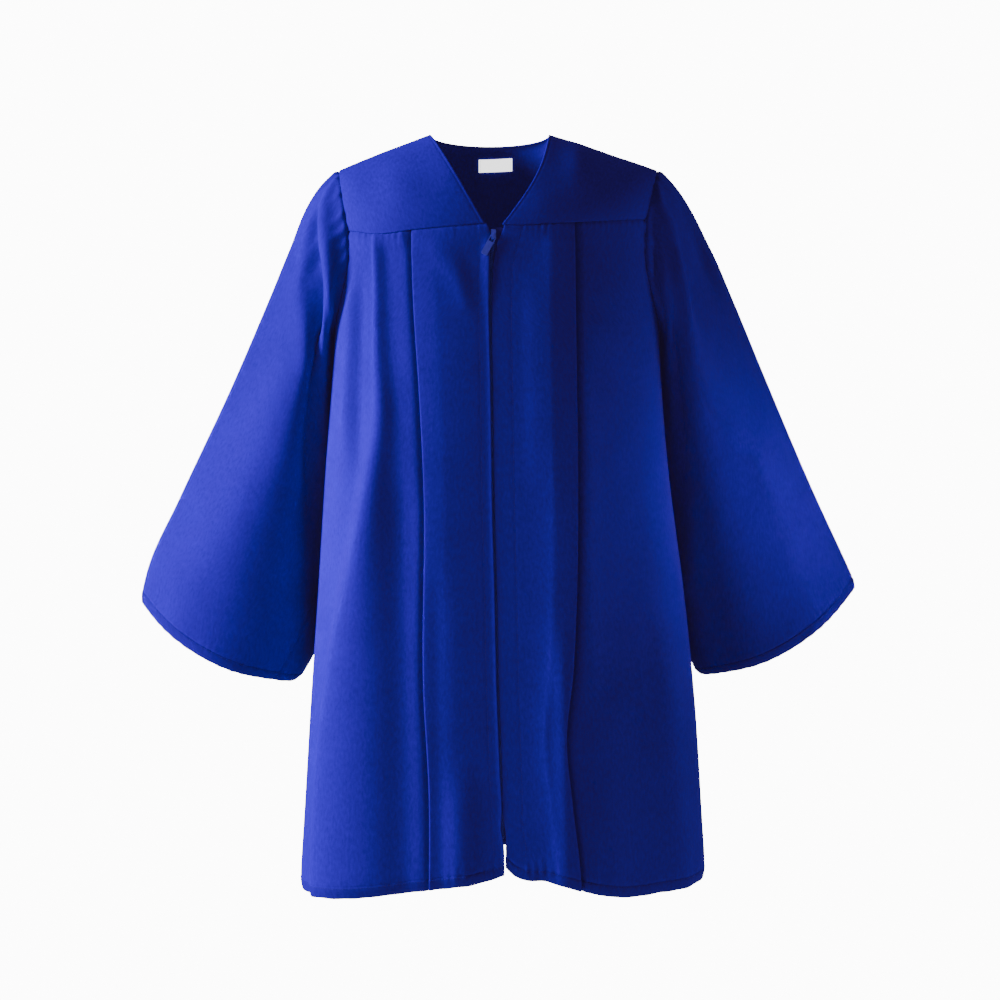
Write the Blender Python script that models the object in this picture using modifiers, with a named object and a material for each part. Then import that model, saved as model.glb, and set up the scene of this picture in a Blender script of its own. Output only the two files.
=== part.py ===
"""A child's graduation gown, worn and hollow: a V-necked yoke over the shoulders, pleated fronts that
meet at a zip, a pleated back, and gathered bell sleeves.

Metres, +Z up. The front faces -Y, and the wearer's right side lies at -X. The origin is on the level of
the neck points, where the shoulders carry the gown. Tables are in millimetres, and each row of a table
is one section, fold or place.
"""

import math
from collections import namedtuple

import bmesh
import bpy
import numpy as np
from mathutils import Matrix, Vector

MM = 0.001
RIGHT, LEFT = -1, 1
FRONT, BACK = -1, 1

# Cloth
CLOTH = 1.2  # wall of a single cloth
HEM_CLOTH = 1.5  # wall where the hem is turned up
HEM_DEPTH = 9.0
SEAM = 0.8  # gap between two pieces that are sewn together
YOKE_LIFT = 1.0  # the yoke lies this far out from the panels' own surface

# Body: level sections, with the half width on each side and the depth before and behind the middle.
Section = namedtuple("Section", "z right left front back")
BODY = (
    Section(-80, 142, 142, 88, 82),
    Section(-180, 145, 145, 101, 94),
    Section(-302, 153, 153, 114, 106),
    Section(-415, 159.5, 167, 124, 116),
    Section(-505, 165.5, 176, 131, 123),
    Section(-617, 172, 183, 138, 130),
    Section(-680, 176, 187, 142, 134),
)

# Exponent of the section's superellipse, and what it gains where the front grows flatter below the arms.
SQUARENESS = {FRONT: 2.5, BACK: 2.3}
FLATTER = {FRONT: 0.6, BACK: 0.0}
FLATTER_FROM_Z, FLATTER_AT_Z = -180.0, -400.0

# Armhole, seen from the side
ARMHOLE_WIDEST_Z = -112.0
ARMHOLE_DROP = 64.0  # from its widest level to the underarm
ARMHOLE_REACH = {FRONT: 49.0, BACK: 46.0}
ARMHOLE_LEAN = 0.08  # it narrows by this much for each millimetre above its widest level
UNDERARM_Z = ARMHOLE_WIDEST_Z - ARMHOLE_DROP

# Shoulder seams, from the neck out: the crest of the shoulder.
Shoulder = namedtuple("Shoulder", "along right_x left_x z")
SHOULDER = (
    Shoulder(0.0, -60.4, 47.0, -0.6),
    Shoulder(0.31, -85.5, 77.0, -10.2),
    Shoulder(0.55, -105.5, 100.0, -17.6),
    Shoulder(0.78, -124.0, 121.7, -25.0),
    Shoulder(1.0, -141.5, 143.3, -32.5),
)
YOKE_ROUNDNESS = {FRONT: 1.75, BACK: 1.9}  # exponent of its arch over the shoulder
NECK_BACK_Y, NECK_BACK_Z = 60.0, -3.0
NECK_BOW = {RIGHT: 0.0, LEFT: 8.5}  # how far the V's edge curves away from a straight line

# Seams and hems across the body: height at each place.
Place = namedtuple("Place", "x z")
FRONT_YOKE_SEAM = (
    Place(-128, -91), Place(-105, -95.5), Place(-71, -93), Place(-38, -90.5), Place(-6, -88.5),
    Place(6, -89.5), Place(55, -87.5), Place(90, -85), Place(130, -80.5),
)
BACK_YOKE_SEAM = (Place(-128, -97), Place(-60, -101), Place(0, -102), Place(60, -101), Place(130, -97))
RIGHT_HEM = (
    Place(-176, -671), Place(-154, -669.5), Place(-131, -668.5), Place(-89, -663.5), Place(-48, -658),
    Place(-8, -651.5), Place(5, -647),
)
LEFT_HEM = (
    Place(8, -640.5), Place(13, -645.5), Place(43, -652), Place(84, -663), Place(115, -667),
    Place(147, -664.5), Place(187, -661),
)
BACK_HEM = (Place(-176, -671), Place(-90, -664), Place(0, -656), Place(90, -661), Place(187, -661))

# The zip's line down the front, and how far each front stands off it.
Zip = namedtuple("Zip", "z x gap")
ZIP = (
    Zip(-84, -3.0, 9.4),
    Zip(-89, -3.0, 7.8),
    Zip(-97, -2.8, 4.2),
    Zip(-105, -3.1, 3.3),
    Zip(-112, -3.8, 2.1),
    Zip(-119, -4.6, 1.5),
    Zip(-130, -5.1, 1.3),
    Zip(-156, -5.5, 1.2),
    Zip(-243, -4.2, 1.0),
    Zip(-329, -2.9, 0.9),
    Zip(-414, -0.7, 0.9),
    Zip(-499, 1.0, 0.9),
    Zip(-575, 3.5, 0.9),
    Zip(-622, 5.2, 1.0),
    Zip(-629, 5.6, 1.9),
    Zip(-634, 6.0, 1.6),
    Zip(-642, 6.6, 0.9),
    Zip(-680, 6.9, 0.9),
)
ZIP_TOP, ZIP_END = -93.5, -619.0
ZIP_FACING = 9.0  # width of the strip that is turned in beside the zip

# Pleats: where the folded edge runs and how deep it tucks.
PleatRow = namedtuple("PleatRow", "z x tuck")
RIGHT_PLEAT = (
    PleatRow(-80, -73.5, 12),
    PleatRow(-156, -71, 12),
    PleatRow(-243, -65.5, 11),
    PleatRow(-329, -61.5, 10),
    PleatRow(-500, -61.5, 9),
    PleatRow(-584, -57, 8),
    PleatRow(-680, -56.5, 8),
)
LEFT_PLEAT = (
    PleatRow(-80, 66, 14),
    PleatRow(-200, 67, 14),
    PleatRow(-303, 68, 13),
    PleatRow(-410, 67, 12),
    PleatRow(-474, 64, 11),
    PleatRow(-537, 58, 10),
    PleatRow(-590, 63, 10),
    PleatRow(-650, 70, 10),
    PleatRow(-680, 71, 10),
)
PLEAT_TURN = 1.0  # radius of the middle of the cloth where a pleat folds back

# Rolls: unpressed pleats that stand as a ridge, with how far each side of it reaches.
RollRow = namedtuple("RollRow", "z x height inner outer")
OUTER_ROLL = (
    RollRow(-80, -107, 3.2, 17, 4),
    RollRow(-128, -104.5, 4.4, 18, 5),
    RollRow(-195, -103, 5.0, 18, 8),
    RollRow(-257, -99, 6.0, 19, 14),
    RollRow(-322, -107, 7.0, 22, 18),
    RollRow(-387, -118, 8.0, 25, 20),
    RollRow(-453, -130, 8.0, 27, 20),
    RollRow(-530, -141, 7.0, 28, 18),
    RollRow(-680, -151, 6.0, 28, 18),
)
BACK_RIGHT_ROLLS = (
    (RollRow(-80, -38, 3.0, 14, 8), RollRow(-300, -42, 6.0, 16, 14), RollRow(-680, -50, 8.0, 22, 20)),
    (RollRow(-80, -82, 3.0, 14, 8), RollRow(-300, -92, 6.0, 16, 16), RollRow(-680, -116, 8.0, 24, 22)),
)
BACK_LEFT_ROLLS = (
    (RollRow(-80, 36, 3.0, 14, 8), RollRow(-300, 40, 6.0, 16, 14), RollRow(-680, 52, 8.0, 22, 20)),
    (RollRow(-80, 80, 3.0, 14, 8), RollRow(-300, 94, 6.0, 16, 16), RollRow(-680, 124, 8.0, 24, 22)),
)
FINE_ROLL = (-1.0, -0.55, -0.22, 0.0, 0.3, 0.65, 1.0)  # its points, as shares of each side's reach
PLAIN_ROLL = (-1.0, -0.45, 0.0, 0.45, 1.0)

# Soft folds: a ridge (or a trough, where height is below zero) from top to bottom of its run.
Fold = namedtuple("Fold", "top_x low_x top_z low_z height width")
FRONT_RIGHT_FOLDS = (
    Fold(-128, -134, -120, -300, 3.0, 8),
    Fold(-118, -122, -120, -330, -3.0, 8),
    Fold(-62, -12, -100, -190, 3.0, 12),
    Fold(-86, -80, -300, -700, -2.5, 14),
    Fold(-52, -47, -330, -700, -2.5, 7),
    Fold(-30, -30, -560, -700, 3.0, 13),
)
FRONT_LEFT_FOLDS = (
    Fold(28, 34, -110, -330, 1.5, 14),
    Fold(80, 83, -190, -500, -7.0, 11),
    Fold(126, 138, -190, -430, 3.0, 11),
    Fold(90, 98, -560, -700, 3.0, 16),
    Fold(56, 60, -430, -700, 2.0, 8),
    Fold(146, 164, -430, -700, 3.0, 14),
)
BACK_FOLDS = (
    Fold(0, -4, -110, -700, -5.0, 18),
    Fold(-62, -80, -150, -700, -4.0, 14),
    Fold(62, 84, -150, -700, -4.0, 14),
)
FOLD_FADE = 60.0  # a fold rises to its height over this length
EDGE_FADE = 26.0  # and dies away this close to the side seam and the armhole
ZIP_FADE = 18.0  # and over this width beside the zip's facing

# Rows of the body's panels, by their height at the side
ARMHOLE_ROWS = (-108, -130, -150, -165, -173)
BODY_ROWS = (-196, -232, -285, -345, -415, -485, -555, -618)

# Sleeves: the crest along the arm, the underarm line behind the body's side, and the depths between them.
SleeveRow = namedtuple("SleeveRow", "along crest_x crest_y crest_z under_x under_y under_z front back")
SLEEVE_RIGHT = (
    SleeveRow(0.000, -141.5, 0, -32.5, -146.0, 0, -176, 49, 46),
    SleeveRow(0.035, -154.0, 0, -38.6, -147.6, 7, -183, 55, 50),
    SleeveRow(0.093, -166.6, 1, -60.0, -147.6, 20, -197, 59, 53),
    SleeveRow(0.167, -180.5, 2, -89.0, -147.6, 35, -221, 61, 54),
    SleeveRow(0.317, -205.5, 4, -148.5, -149.5, 48, -268, 63, 52),
    SleeveRow(0.500, -237.0, 6, -221.5, -153.0, 56, -333, 63, 50),
    SleeveRow(0.779, -287.6, 9, -329.2, -160.0, 58, -424, 62, 50),
    SleeveRow(0.930, -315.0, 11, -389.0, -169.5, 52, -470, 62, 54),
    SleeveRow(1.000, -323.0, 12, -420.0, -182.0, 46, -491, 62, 57),
)
SLEEVE_LEFT = (
    SleeveRow(0.000, 143.3, 0, -32.5, 146.0, 0, -176, 49, 46),
    SleeveRow(0.035, 155.5, 0, -43.5, 147.6, 7, -183, 55, 50),
    SleeveRow(0.109, 172.0, 1, -67.6, 147.6, 22, -200, 59, 53),
    SleeveRow(0.209, 192.7, 2, -103.6, 147.8, 40, -234, 61, 54),
    SleeveRow(0.327, 212.6, 4, -148.6, 150.0, 50, -274, 63, 52),
    SleeveRow(0.500, 240.5, 6, -215.5, 156.0, 56, -333, 63, 50),
    SleeveRow(0.797, 289.4, 9, -329.3, 167.5, 58, -430, 62, 50),
    SleeveRow(0.940, 315.0, 11, -384.0, 176.5, 52, -470, 62, 54),
    SleeveRow(1.000, 325.5, 12, -407.0, 184.0, 46, -486, 62, 57),
)
SLEEVE_LEAN = {FRONT: 0.7, BACK: 0.3}  # its fullest place lies nearer to the underarm line by this much
SLEEVE_LENGTH = 425.0
SLEEVE_STEPS = (0.0, 0.014, 0.036, 0.068, 0.11, 0.165, 0.24, 0.34, 0.47, 0.63, 0.82)
CUFF_DIP = 17.0  # the cuff is cut longer before and behind than a straight line
SLEEVE_START = 1.3  # the sleeve begins this far out from the armhole edge
SLEEVE_JOIN = 0.2  # share of its length over which it takes up its own shape
CREST_HEADING, UNDER_HEADING = (0.85, -0.4), (0.1, -0.1)  # how it sets off, outwards and up

# Gathers round the sleeve head, from the back over the crest to the front.
GATHERS = 9
GATHER_SAMPLES = 4
GATHER_DEPTH = 2.4
GATHER_SPAN = 116.0  # degrees on each side of the crest
GATHER_FADE = 0.17
UNDERARM_SAMPLES = 9

# Long folds that run down each sleeve: angle from the crest towards the front, in degrees.
SleeveFold = namedtuple("SleeveFold", "top_angle low_angle start end height width")
FOLDS_RIGHT_SLEEVE = (
    SleeveFold(106, 118, 0.02, 0.34, 5.5, 14),
    SleeveFold(80, 90, 0.03, 0.40, -4.5, 14),
    SleeveFold(48, 40, 0.05, 0.30, -3.5, 15),
    SleeveFold(128, 140, 0.55, 1.10, -4.0, 15),
    SleeveFold(250, 262, 0.05, 0.55, 6.0, 15),
    SleeveFold(285, 300, 0.10, 0.60, -4.0, 14),
    SleeveFold(262, 270, 0.55, 1.10, -5.0, 18),
)
FOLDS_LEFT_SLEEVE = (
    SleeveFold(76, 88, 0.02, 0.46, 7.0, 13),
    SleeveFold(104, 112, 0.03, 0.50, -5.0, 12),
    SleeveFold(50, 44, 0.04, 0.30, -5.0, 14),
    SleeveFold(60, 66, 0.50, 1.10, 3.0, 20),
    SleeveFold(248, 256, 0.05, 0.55, 6.0, 15),
    SleeveFold(282, 296, 0.10, 0.60, -4.0, 14),
    SleeveFold(264, 270, 0.55, 1.10, -5.0, 18),
)

# Zip: distances out from the fronts' surface, and half widths
TAPE_WIDTH, TAPE_THICK, TAPE_SET_BACK, TAPE_GAP = 9.5, 0.8, 1.6, 0.25
TAPE_PART = 1.3  # the tapes stand this far off the zip's line inside the slider
SLIDER_Z, SLIDER_HALF_HEIGHT = -99.4, 4.65
CROWN_HALF, CROWN_BACK, CROWN_FACE = 2.1, -0.7, 1.0
NECK_HALF, NECK_HALF_HEIGHT = 0.7, 4.2
PLATE_HALF, PLATE_FACE, PLATE_BACK = 3.6, -2.4, -3.4
BRIDGE_HALF, BRIDGE_FACE, BRIDGE_BAR = 0.6, 4.1, 0.8
BRIDGE_LOW, BRIDGE_HIGH = -4.0, 1.2
TAB_LENGTH, TAB_WIDTH, TAB_THICK = 19.0, 5.8, 1.0
TAB_BAR, TAB_HOLE_LENGTH, TAB_HOLE_WIDTH = 1.2, 4.8, 4.2
TAB_SLANT = 28.0  # degrees from straight down, towards the wearer's right
TAB_PIVOT_OUT, TAB_PIVOT_DOWN = 2.25, 1.75

# Neck label
LABEL_WIDTH, LABEL_HEIGHT, LABEL_THICK = 30.5, 11.0, 0.6
LABEL_X, LABEL_Z, LABEL_TILT, LABEL_SET_IN = -1.5, -18.5, 2.0, 1.8

# Finishes: colour, roughness, metallic
Finish = namedtuple("Finish", "name colour roughness metallic")
ROYAL_BLUE = Finish("royal_blue_cloth", (0.030, 0.045, 0.42), 0.82, 0.0)
BLUE_TAPE = Finish("blue_zip_tape", (0.020, 0.030, 0.30), 0.85, 0.0)
BLUE_ENAMEL = Finish("blue_enamel", (0.045, 0.065, 0.50), 0.35, 0.3)
WHITE_SATIN = Finish("white_satin", (0.86, 0.86, 0.86), 0.55, 0.0)


def smooth_curve(rows, key, value):
    """A smooth curve through one column of a table, as a function of another."""
    ordered = sorted(rows, key=lambda row: getattr(row, key))
    keys = np.array([getattr(row, key) for row in ordered], float)
    values = np.array([getattr(row, value) for row in ordered], float)
    slopes = np.gradient(values, keys)

    def at(place):
        place = min(max(place, keys[0]), keys[-1])
        i = int(min(max(np.searchsorted(keys, place) - 1, 0), len(keys) - 2))
        step = keys[i + 1] - keys[i]
        t = (place - keys[i]) / step
        start = (1 + 2 * t) * (1 - t) ** 2 * values[i] + t * (1 - t) ** 2 * step * slopes[i]
        end = t * t * (3 - 2 * t) * values[i + 1] + t * t * (t - 1) * step * slopes[i + 1]
        return float(start + end)

    return at


def straight_curve(rows, key, value):
    """As smooth_curve, with straight runs between the rows."""
    ordered = sorted(rows, key=lambda row: getattr(row, key))
    keys = [getattr(row, key) for row in ordered]
    values = [getattr(row, value) for row in ordered]
    return lambda place: float(np.interp(place, keys, values))


def ease(x):
    """0 below 0, 1 above 1, and a smooth rise between."""
    x = min(max(x, 0.0), 1.0)
    return x * x * (3 - 2 * x)


def spread(start, end, count):
    """This many places strictly between two ends."""
    return [start + (end - start) * (i + 1) / (count + 1) for i in range(count)]


half_width = {side: smooth_curve(BODY, "z", name) for side, name in ((RIGHT, "right"), (LEFT, "left"))}
depth = {face: smooth_curve(BODY, "z", name) for face, name in ((FRONT, "front"), (BACK, "back"))}
zip_x = smooth_curve(ZIP, "z", "x")
zip_gap = straight_curve(ZIP, "z", "gap")
yoke_seam = {FRONT: smooth_curve(FRONT_YOKE_SEAM, "x", "z"), BACK: smooth_curve(BACK_YOKE_SEAM, "x", "z")}
shoulder_x = {
    RIGHT: smooth_curve(SHOULDER, "along", "right_x"),
    LEFT: smooth_curve(SHOULDER, "along", "left_x"),
}
shoulder_z = smooth_curve(SHOULDER, "along", "z")


class FaceLine:
    """The body's front or back at one height, from the right side seam to the left one."""

    def __init__(self, face, z):
        self.face = face
        flatter = ease((z - FLATTER_FROM_Z) / (FLATTER_AT_Z - FLATTER_FROM_Z))
        self.power = SQUARENESS[face] + FLATTER[face] * flatter
        self.right, self.left = half_width[RIGHT](z), half_width[LEFT](z)
        self.depth = depth[face](z)
        turn = np.linspace(-math.pi / 2, math.pi / 2, 361)
        width = np.where(turn < 0, self.right, self.left)
        self.x = width * np.sign(turn) * np.abs(np.sin(turn)) ** (2 / self.power)
        self.y = face * self.depth * np.maximum(np.cos(turn), 0) ** (2 / self.power)
        steps = np.hypot(np.diff(self.x), np.diff(self.y))
        self.length = np.concatenate([[0], np.cumsum(steps)])

    def along(self, x):
        """The length along the line to the place at this x."""
        return float(np.interp(x, self.x, self.length))

    def armhole(self, side, reach):
        """The length along the line to the armhole edge, which stands this far before or behind the side."""
        half = self.x < 0 if side == RIGHT else self.x >= 0
        deep, length = np.abs(self.y[half]), self.length[half]
        if side == LEFT:
            deep, length = deep[::-1], length[::-1]
        return float(np.interp(reach, deep, length))

    def point(self, length, out=0.0):
        """The place at this length along the line, moved out from it."""
        x = float(np.interp(length, self.length, self.x))
        y = float(np.interp(length, self.length, self.y))
        width = self.right if x < 0 else self.left
        out_x = math.copysign(abs(x / width) ** (self.power - 1) / width, x)
        out_y = self.face * abs(y / self.depth) ** (self.power - 1) / self.depth
        size = math.hypot(out_x, out_y)
        return x + out * out_x / size, y + out * out_y / size


def armhole_reach(face, z):
    """How far before or behind the side the armhole edge stands at this height; 0 on the side seam."""
    widest = ARMHOLE_REACH[face]
    if z <= UNDERARM_Z:
        return 0.0
    if z < ARMHOLE_WIDEST_Z:
        return widest * math.sqrt(1 - ((z - ARMHOLE_WIDEST_Z) / ARMHOLE_DROP) ** 2)
    return widest - ARMHOLE_LEAN * (z - ARMHOLE_WIDEST_Z)


def armhole_corner(face, side):
    """Where the yoke's lower seam meets the armhole, as x, y and z."""
    z = yoke_seam[face](side * 129)
    line = FaceLine(face, z)
    x, y = line.point(line.armhole(side, armhole_reach(face, z)), YOKE_LIFT)
    return x, y, z


def armhole_edge(face, side, z):
    """The armhole edge at this height, on the panel or, above its seam, on the yoke."""
    x, y, seam_z = armhole_corner(face, side)
    if z <= seam_z:
        line = FaceLine(face, z)
        lift = YOKE_LIFT * ease((z - seam_z) / 30 + 1)
        return line.point(line.armhole(side, armhole_reach(face, z)), lift)
    crest_z, crest_x = shoulder_z(1), shoulder_x[side](1)
    rise = min((z - seam_z) / (crest_z - seam_z), 1.0)
    roundness = YOKE_ROUNDNESS[face]
    return x + (crest_x - x) * rise, y * (1 - rise**roundness) ** (1 / roundness)


def fold_height(folds, x, z):
    """How far the soft folds move the cloth out at this place."""
    total = 0.0
    for fold in folds:
        run = (fold.top_z - z) / (fold.top_z - fold.low_z)
        centre = fold.top_x + (fold.low_x - fold.top_x) * run
        rise = ease((fold.top_z - z) / FOLD_FADE) * ease((z - fold.low_z) / FOLD_FADE)
        total += fold.height * rise * math.exp(-(((x - centre) / fold.width) ** 2))
    return total


class Pleat:
    """A knife pleat down a panel, read from its table."""

    def __init__(self, rows):
        self.x = smooth_curve(rows, "z", "x")
        self.tuck = smooth_curve(rows, "z", "tuck")

    def points(self, line, middle, side, z):
        """(distance, height) along a row through the pleat, by distance from the middle of the gown.

        The layer on top folds back under itself at the edge, tucks in and turns out again.
        """
        edge = side * (line.along(self.x(z)) - middle)
        tuck = self.tuck(z)
        r = PLEAT_TURN
        inner, half = edge - tuck, edge - tuck / 2
        return [
            (inner - 7, 4 * r), (inner, 4 * r), (half, 4 * r), (edge, 4 * r), (edge + r, 3 * r),
            (edge, 2 * r), (half, 2 * r), (inner, 2 * r), (inner - r, r),
            (inner, 0), (half, 0), (edge, 0), (edge + 2.5, 0), (edge + 8, 0),
        ]


class Roll:
    """An unpressed pleat that stands as a ridge down a panel, read from its table."""

    def __init__(self, rows, shares):
        self.x, self.height, self.inner, self.outer = (
            smooth_curve(rows, "z", name) for name in ("x", "height", "inner", "outer")
        )
        self.shares = shares

    def points(self, line, middle, side, z):
        """(distance, height) along a row over the ridge, by distance from the middle of the gown."""
        crest = side * (line.along(self.x(z)) - middle)
        row = []
        for share in self.shares:
            reach = self.inner(z) if share < 0 else self.outer(z)
            row.append((crest + share * reach, self.height(z) * ease(1 - abs(share))))
        return row


def half_row(line, z, side, middle, gap, pleats, between):
    """(distance, height) points from the middle of the gown to the armhole or the side, at one height."""
    edge = side * (line.armhole(side, armhole_reach(line.face, z)) - middle) - SEAM / 2
    row = [(gap, 0.0)]
    if gap:
        row.append((gap + ZIP_FACING, 0.0))
    for pleat, count in zip(pleats, between):
        points = pleat.points(line, middle, side, z)
        start, lift = row[-1]
        end, top = points[0]
        for place in spread(start, end, count):
            row.append((place, lift + (top - lift) * ease((place - start) / (end - start))))
        row += points
    start = row[-1][0]
    row += [(place, 0.0) for place in spread(start, edge, between[-1])]
    row.append((edge, 0.0))
    faded = []
    for distance, height in row:
        fade = ease((edge - distance) / EDGE_FADE)
        if gap:
            fade *= ease((distance - gap - ZIP_FACING) / ZIP_FADE)
        faded.append((distance, height, fade))
    return faded


def panel_row(face, sides, z, top, low, seam, hem, folds):
    """One row of a panel in space. Its height follows the seam at the top and the hem at the bottom.

    sides holds, for each side of the panel, its side, gap, pleats and point counts.
    """
    nominal = FaceLine(face, z)
    level = (top - z) / (top - low)
    places = []
    for side, gap, pleats, between in sides:
        middle_x = zip_x(z) if gap else 0.0
        middle = nominal.along(middle_x)
        reach = zip_gap(z) if gap else 0.0
        half = []
        for distance, height, fade in half_row(nominal, z, side, middle, reach, pleats, between):
            half.append(((middle + side * distance) / nominal.length[-1], height, fade))
        places = half[:0:-1] + places if side == RIGHT and len(sides) > 1 else places + half
    row = []
    for share, height, fade in places:
        x, _ = nominal.point(share * nominal.length[-1])
        here = z + (seam(x) - top) * (1 - level) + (hem(x) - low) * level
        line = FaceLine(face, here)
        lift = YOKE_LIFT * ease(1 - (seam(x) - here) / 30)
        out = height + lift + fold_height(folds, x, here) * fade
        row.append(line.point(share * line.length[-1], out) + (here,))
    return row


def panel(face, side, sides, seam, hem, folds):
    """All the rows of a panel, from its seam with the yoke to its hem."""
    half = half_width[side](-660)
    top, low = seam(side * 129), hem(side * half)
    heights = [top - SEAM / 2, *ARMHOLE_ROWS, UNDERARM_Z, *BODY_ROWS]
    heights += [low + HEM_DEPTH + 1.0, low + HEM_DEPTH, low]
    return [panel_row(face, sides, z, top, low, seam, hem, folds) for z in heights]


def cloth(name, rows, finish, closed=False, hem_rows=0, thickness=CLOTH):
    """A sheet of cloth through rows of places, as a grid with a wall; its last rows can be a thicker hem."""
    count, width = len(rows), len(rows[0])
    mesh = bpy.data.meshes.new(name)
    net = bmesh.new()
    bmesh.ops.create_grid(net, x_segments=width - 1, y_segments=count - 1, size=1)
    deform = net.verts.layers.deform.verify()
    for vert in net.verts:
        column = round((vert.co.x + 1) / 2 * (width - 1))
        row = round((vert.co.y + 1) / 2 * (count - 1))
        vert[deform][0] = 1.0 if row >= count - hem_rows else thickness / HEM_CLOTH
        vert.co = Vector(rows[row][column]) * MM
    if closed:
        bmesh.ops.remove_doubles(net, verts=net.verts, dist=0.00001)
    bmesh.ops.recalc_face_normals(net, faces=net.faces)
    net.to_mesh(mesh)
    net.free()
    piece = bpy.data.objects.new(name, mesh)
    piece.vertex_groups.new(name="wall")
    wall = piece.modifiers.new("wall", "SOLIDIFY")
    wall.thickness = HEM_CLOTH * MM
    wall.offset = 0
    wall.use_even_offset = True
    wall.vertex_group = "wall"
    return place(piece, finish)


def place(piece, finish):
    """Give a piece its material and its place in the gown's collection."""
    material = bpy.data.materials.new(f"{piece.name}_{finish.name}")
    material.use_nodes = True
    surface = material.node_tree.nodes["Principled BSDF"]
    surface.inputs["Base Color"].default_value = (*finish.colour, 1)
    surface.inputs["Roughness"].default_value = finish.roughness
    surface.inputs["Metallic"].default_value = finish.metallic
    piece.data.materials.append(material)
    bpy.data.collections["graduation_gown"].objects.link(piece)
    return piece


def yoke_column(face, base, crest, count, bow=0.0):
    """One line of a yoke from its crest down to its seam, arched over the shoulder."""
    roundness = YOKE_ROUNDNESS[face]
    column = []
    for i in range(count):
        turn = i / (count - 1) * math.pi / 2
        rise = math.cos(turn) ** (2 / roundness)
        reach = math.sin(turn) ** (2 / roundness)
        x = base[0] + (crest[0] - base[0]) * rise + bow * math.sin(math.pi * rise)
        y = crest[1] + (base[1] - crest[1]) * reach
        column.append((x, y, base[2] + (crest[2] - base[2]) * rise))
    return column


def seam_place(face, x):
    """The yoke's lower edge at this x."""
    z = yoke_seam[face](x)
    line = FaceLine(face, z)
    return line.point(line.along(x), YOKE_LIFT) + (z + SEAM / 2,)


def yoke_front(name, side):
    """A front yoke, between the armhole, the shoulder seam, the V's edge and the seam over the pleats."""
    outer = armhole_corner(FRONT, side)[0]
    inner = zip_x(-88) + side * zip_gap(-88)
    columns = []
    for i in range(11):
        share = i / 10
        base = seam_place(FRONT, inner + (outer - inner) * share)
        crest = (shoulder_x[side](share), FRONT * SEAM / 2, shoulder_z(share))
        bow = side * NECK_BOW[side] * (1 - share) ** 2
        columns.append(yoke_column(FRONT, base, crest, 8, bow))
    return cloth(name, [list(row) for row in zip(*columns)], ROYAL_BLUE)


def yoke_back_columns():
    """The back yoke's lines from armhole to armhole, round the back neck between the shoulders."""
    right_neck, left_neck = shoulder_x[RIGHT](0), shoulder_x[LEFT](0)
    middle, half = (right_neck + left_neck) / 2, (left_neck - right_neck) / 2
    shares = (1, 0.75, 0.5, 0.25)
    crests = [(shoulder_x[RIGHT](share), SEAM / 2, shoulder_z(share)) for share in shares]
    for i in range(11):
        turn = math.pi * i / 10
        y = SEAM / 2 + (NECK_BACK_Y - SEAM / 2) * math.sin(turn)
        z = shoulder_z(0) + (NECK_BACK_Z - shoulder_z(0)) * math.sin(turn)
        crests.append((middle - half * math.cos(turn), y, z))
    crests += [(shoulder_x[LEFT](share), SEAM / 2, shoulder_z(share)) for share in shares[::-1]]
    right, left = armhole_corner(BACK, RIGHT)[0], armhole_corner(BACK, LEFT)[0]
    columns = []
    for i, crest in enumerate(crests):
        base = seam_place(BACK, right + (left - right) * i / (len(crests) - 1))
        columns.append(yoke_column(BACK, base, crest, 8))
    return columns


def size_label(columns):
    """A bare label inside the back neck, set in from the back yoke's own lines."""
    tilt = math.tan(math.radians(LABEL_TILT))
    rows = []
    for i in range(3):
        row = []
        for j in range(7):
            across = LABEL_WIDTH * (j / 6 - 0.5)
            x = LABEL_X + across
            z = LABEL_Z + LABEL_HEIGHT * (0.5 - i / 2) + tilt * across
            crossings = []
            for column in columns:
                across_x, across_y, heights = zip(*column[::-1])
                crossings.append((np.interp(z, heights, across_x), np.interp(z, heights, across_y)))
            y = np.interp(x, *zip(*crossings))
            row.append((x, float(y) - LABEL_SET_IN, z))
        rows.append(row)
    return cloth("size_label", rows, WHITE_SATIN, thickness=LABEL_THICK)


def sleeve_angles():
    """The angles of a sleeve's points: close together over the gathers, wide apart under the arm."""
    gathered = np.linspace(-GATHER_SPAN, GATHER_SPAN, GATHERS * GATHER_SAMPLES + 1)
    under = spread(GATHER_SPAN, 360 - GATHER_SPAN, UNDERARM_SAMPLES)
    return [float(angle) for angle in gathered] + under + [360 - GATHER_SPAN]


def gather_height(angle, along):
    """How far the gathers lift the cloth: full just off the seam, gone a little way down."""
    if abs(angle) >= GATHER_SPAN:
        return 0.0
    wave = 0.5 - 0.5 * math.cos(math.pi * GATHERS * (angle / GATHER_SPAN + 1))
    rise = ease(along / 0.03) * (1 - ease(along / GATHER_FADE)) ** 1.5
    uneven = 0.75 + 0.25 * math.sin(angle * 0.11 + 1.3)
    return GATHER_DEPTH * 2 * wave * rise * uneven


def sleeve_fold_height(folds, angle, along):
    """How far the sleeve's long folds move the cloth out."""
    total = 0.0
    for fold in folds:
        run = (along - fold.start) / (fold.end - fold.start)
        centre = fold.top_angle + (fold.low_angle - fold.top_angle) * run
        apart = (angle - centre + 180) % 360 - 180
        rise = ease((along - fold.start) / 0.10) * ease((fold.end - along) / 0.16)
        total += fold.height * rise * math.exp(-((apart / fold.width) ** 2))
    return total


def fullness(face, turn):
    """How far forward a sleeve's section stands at this turn from its crest, as a share of its reach."""
    lean = SLEEVE_LEAN[face]
    turns = np.radians(np.arange(90, 181))
    peak = float(np.max(np.sin(turns) * (1 - lean * np.cos(turns))))
    return math.sin(turn) * (1 - lean * math.cos(turn)) / peak


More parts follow.
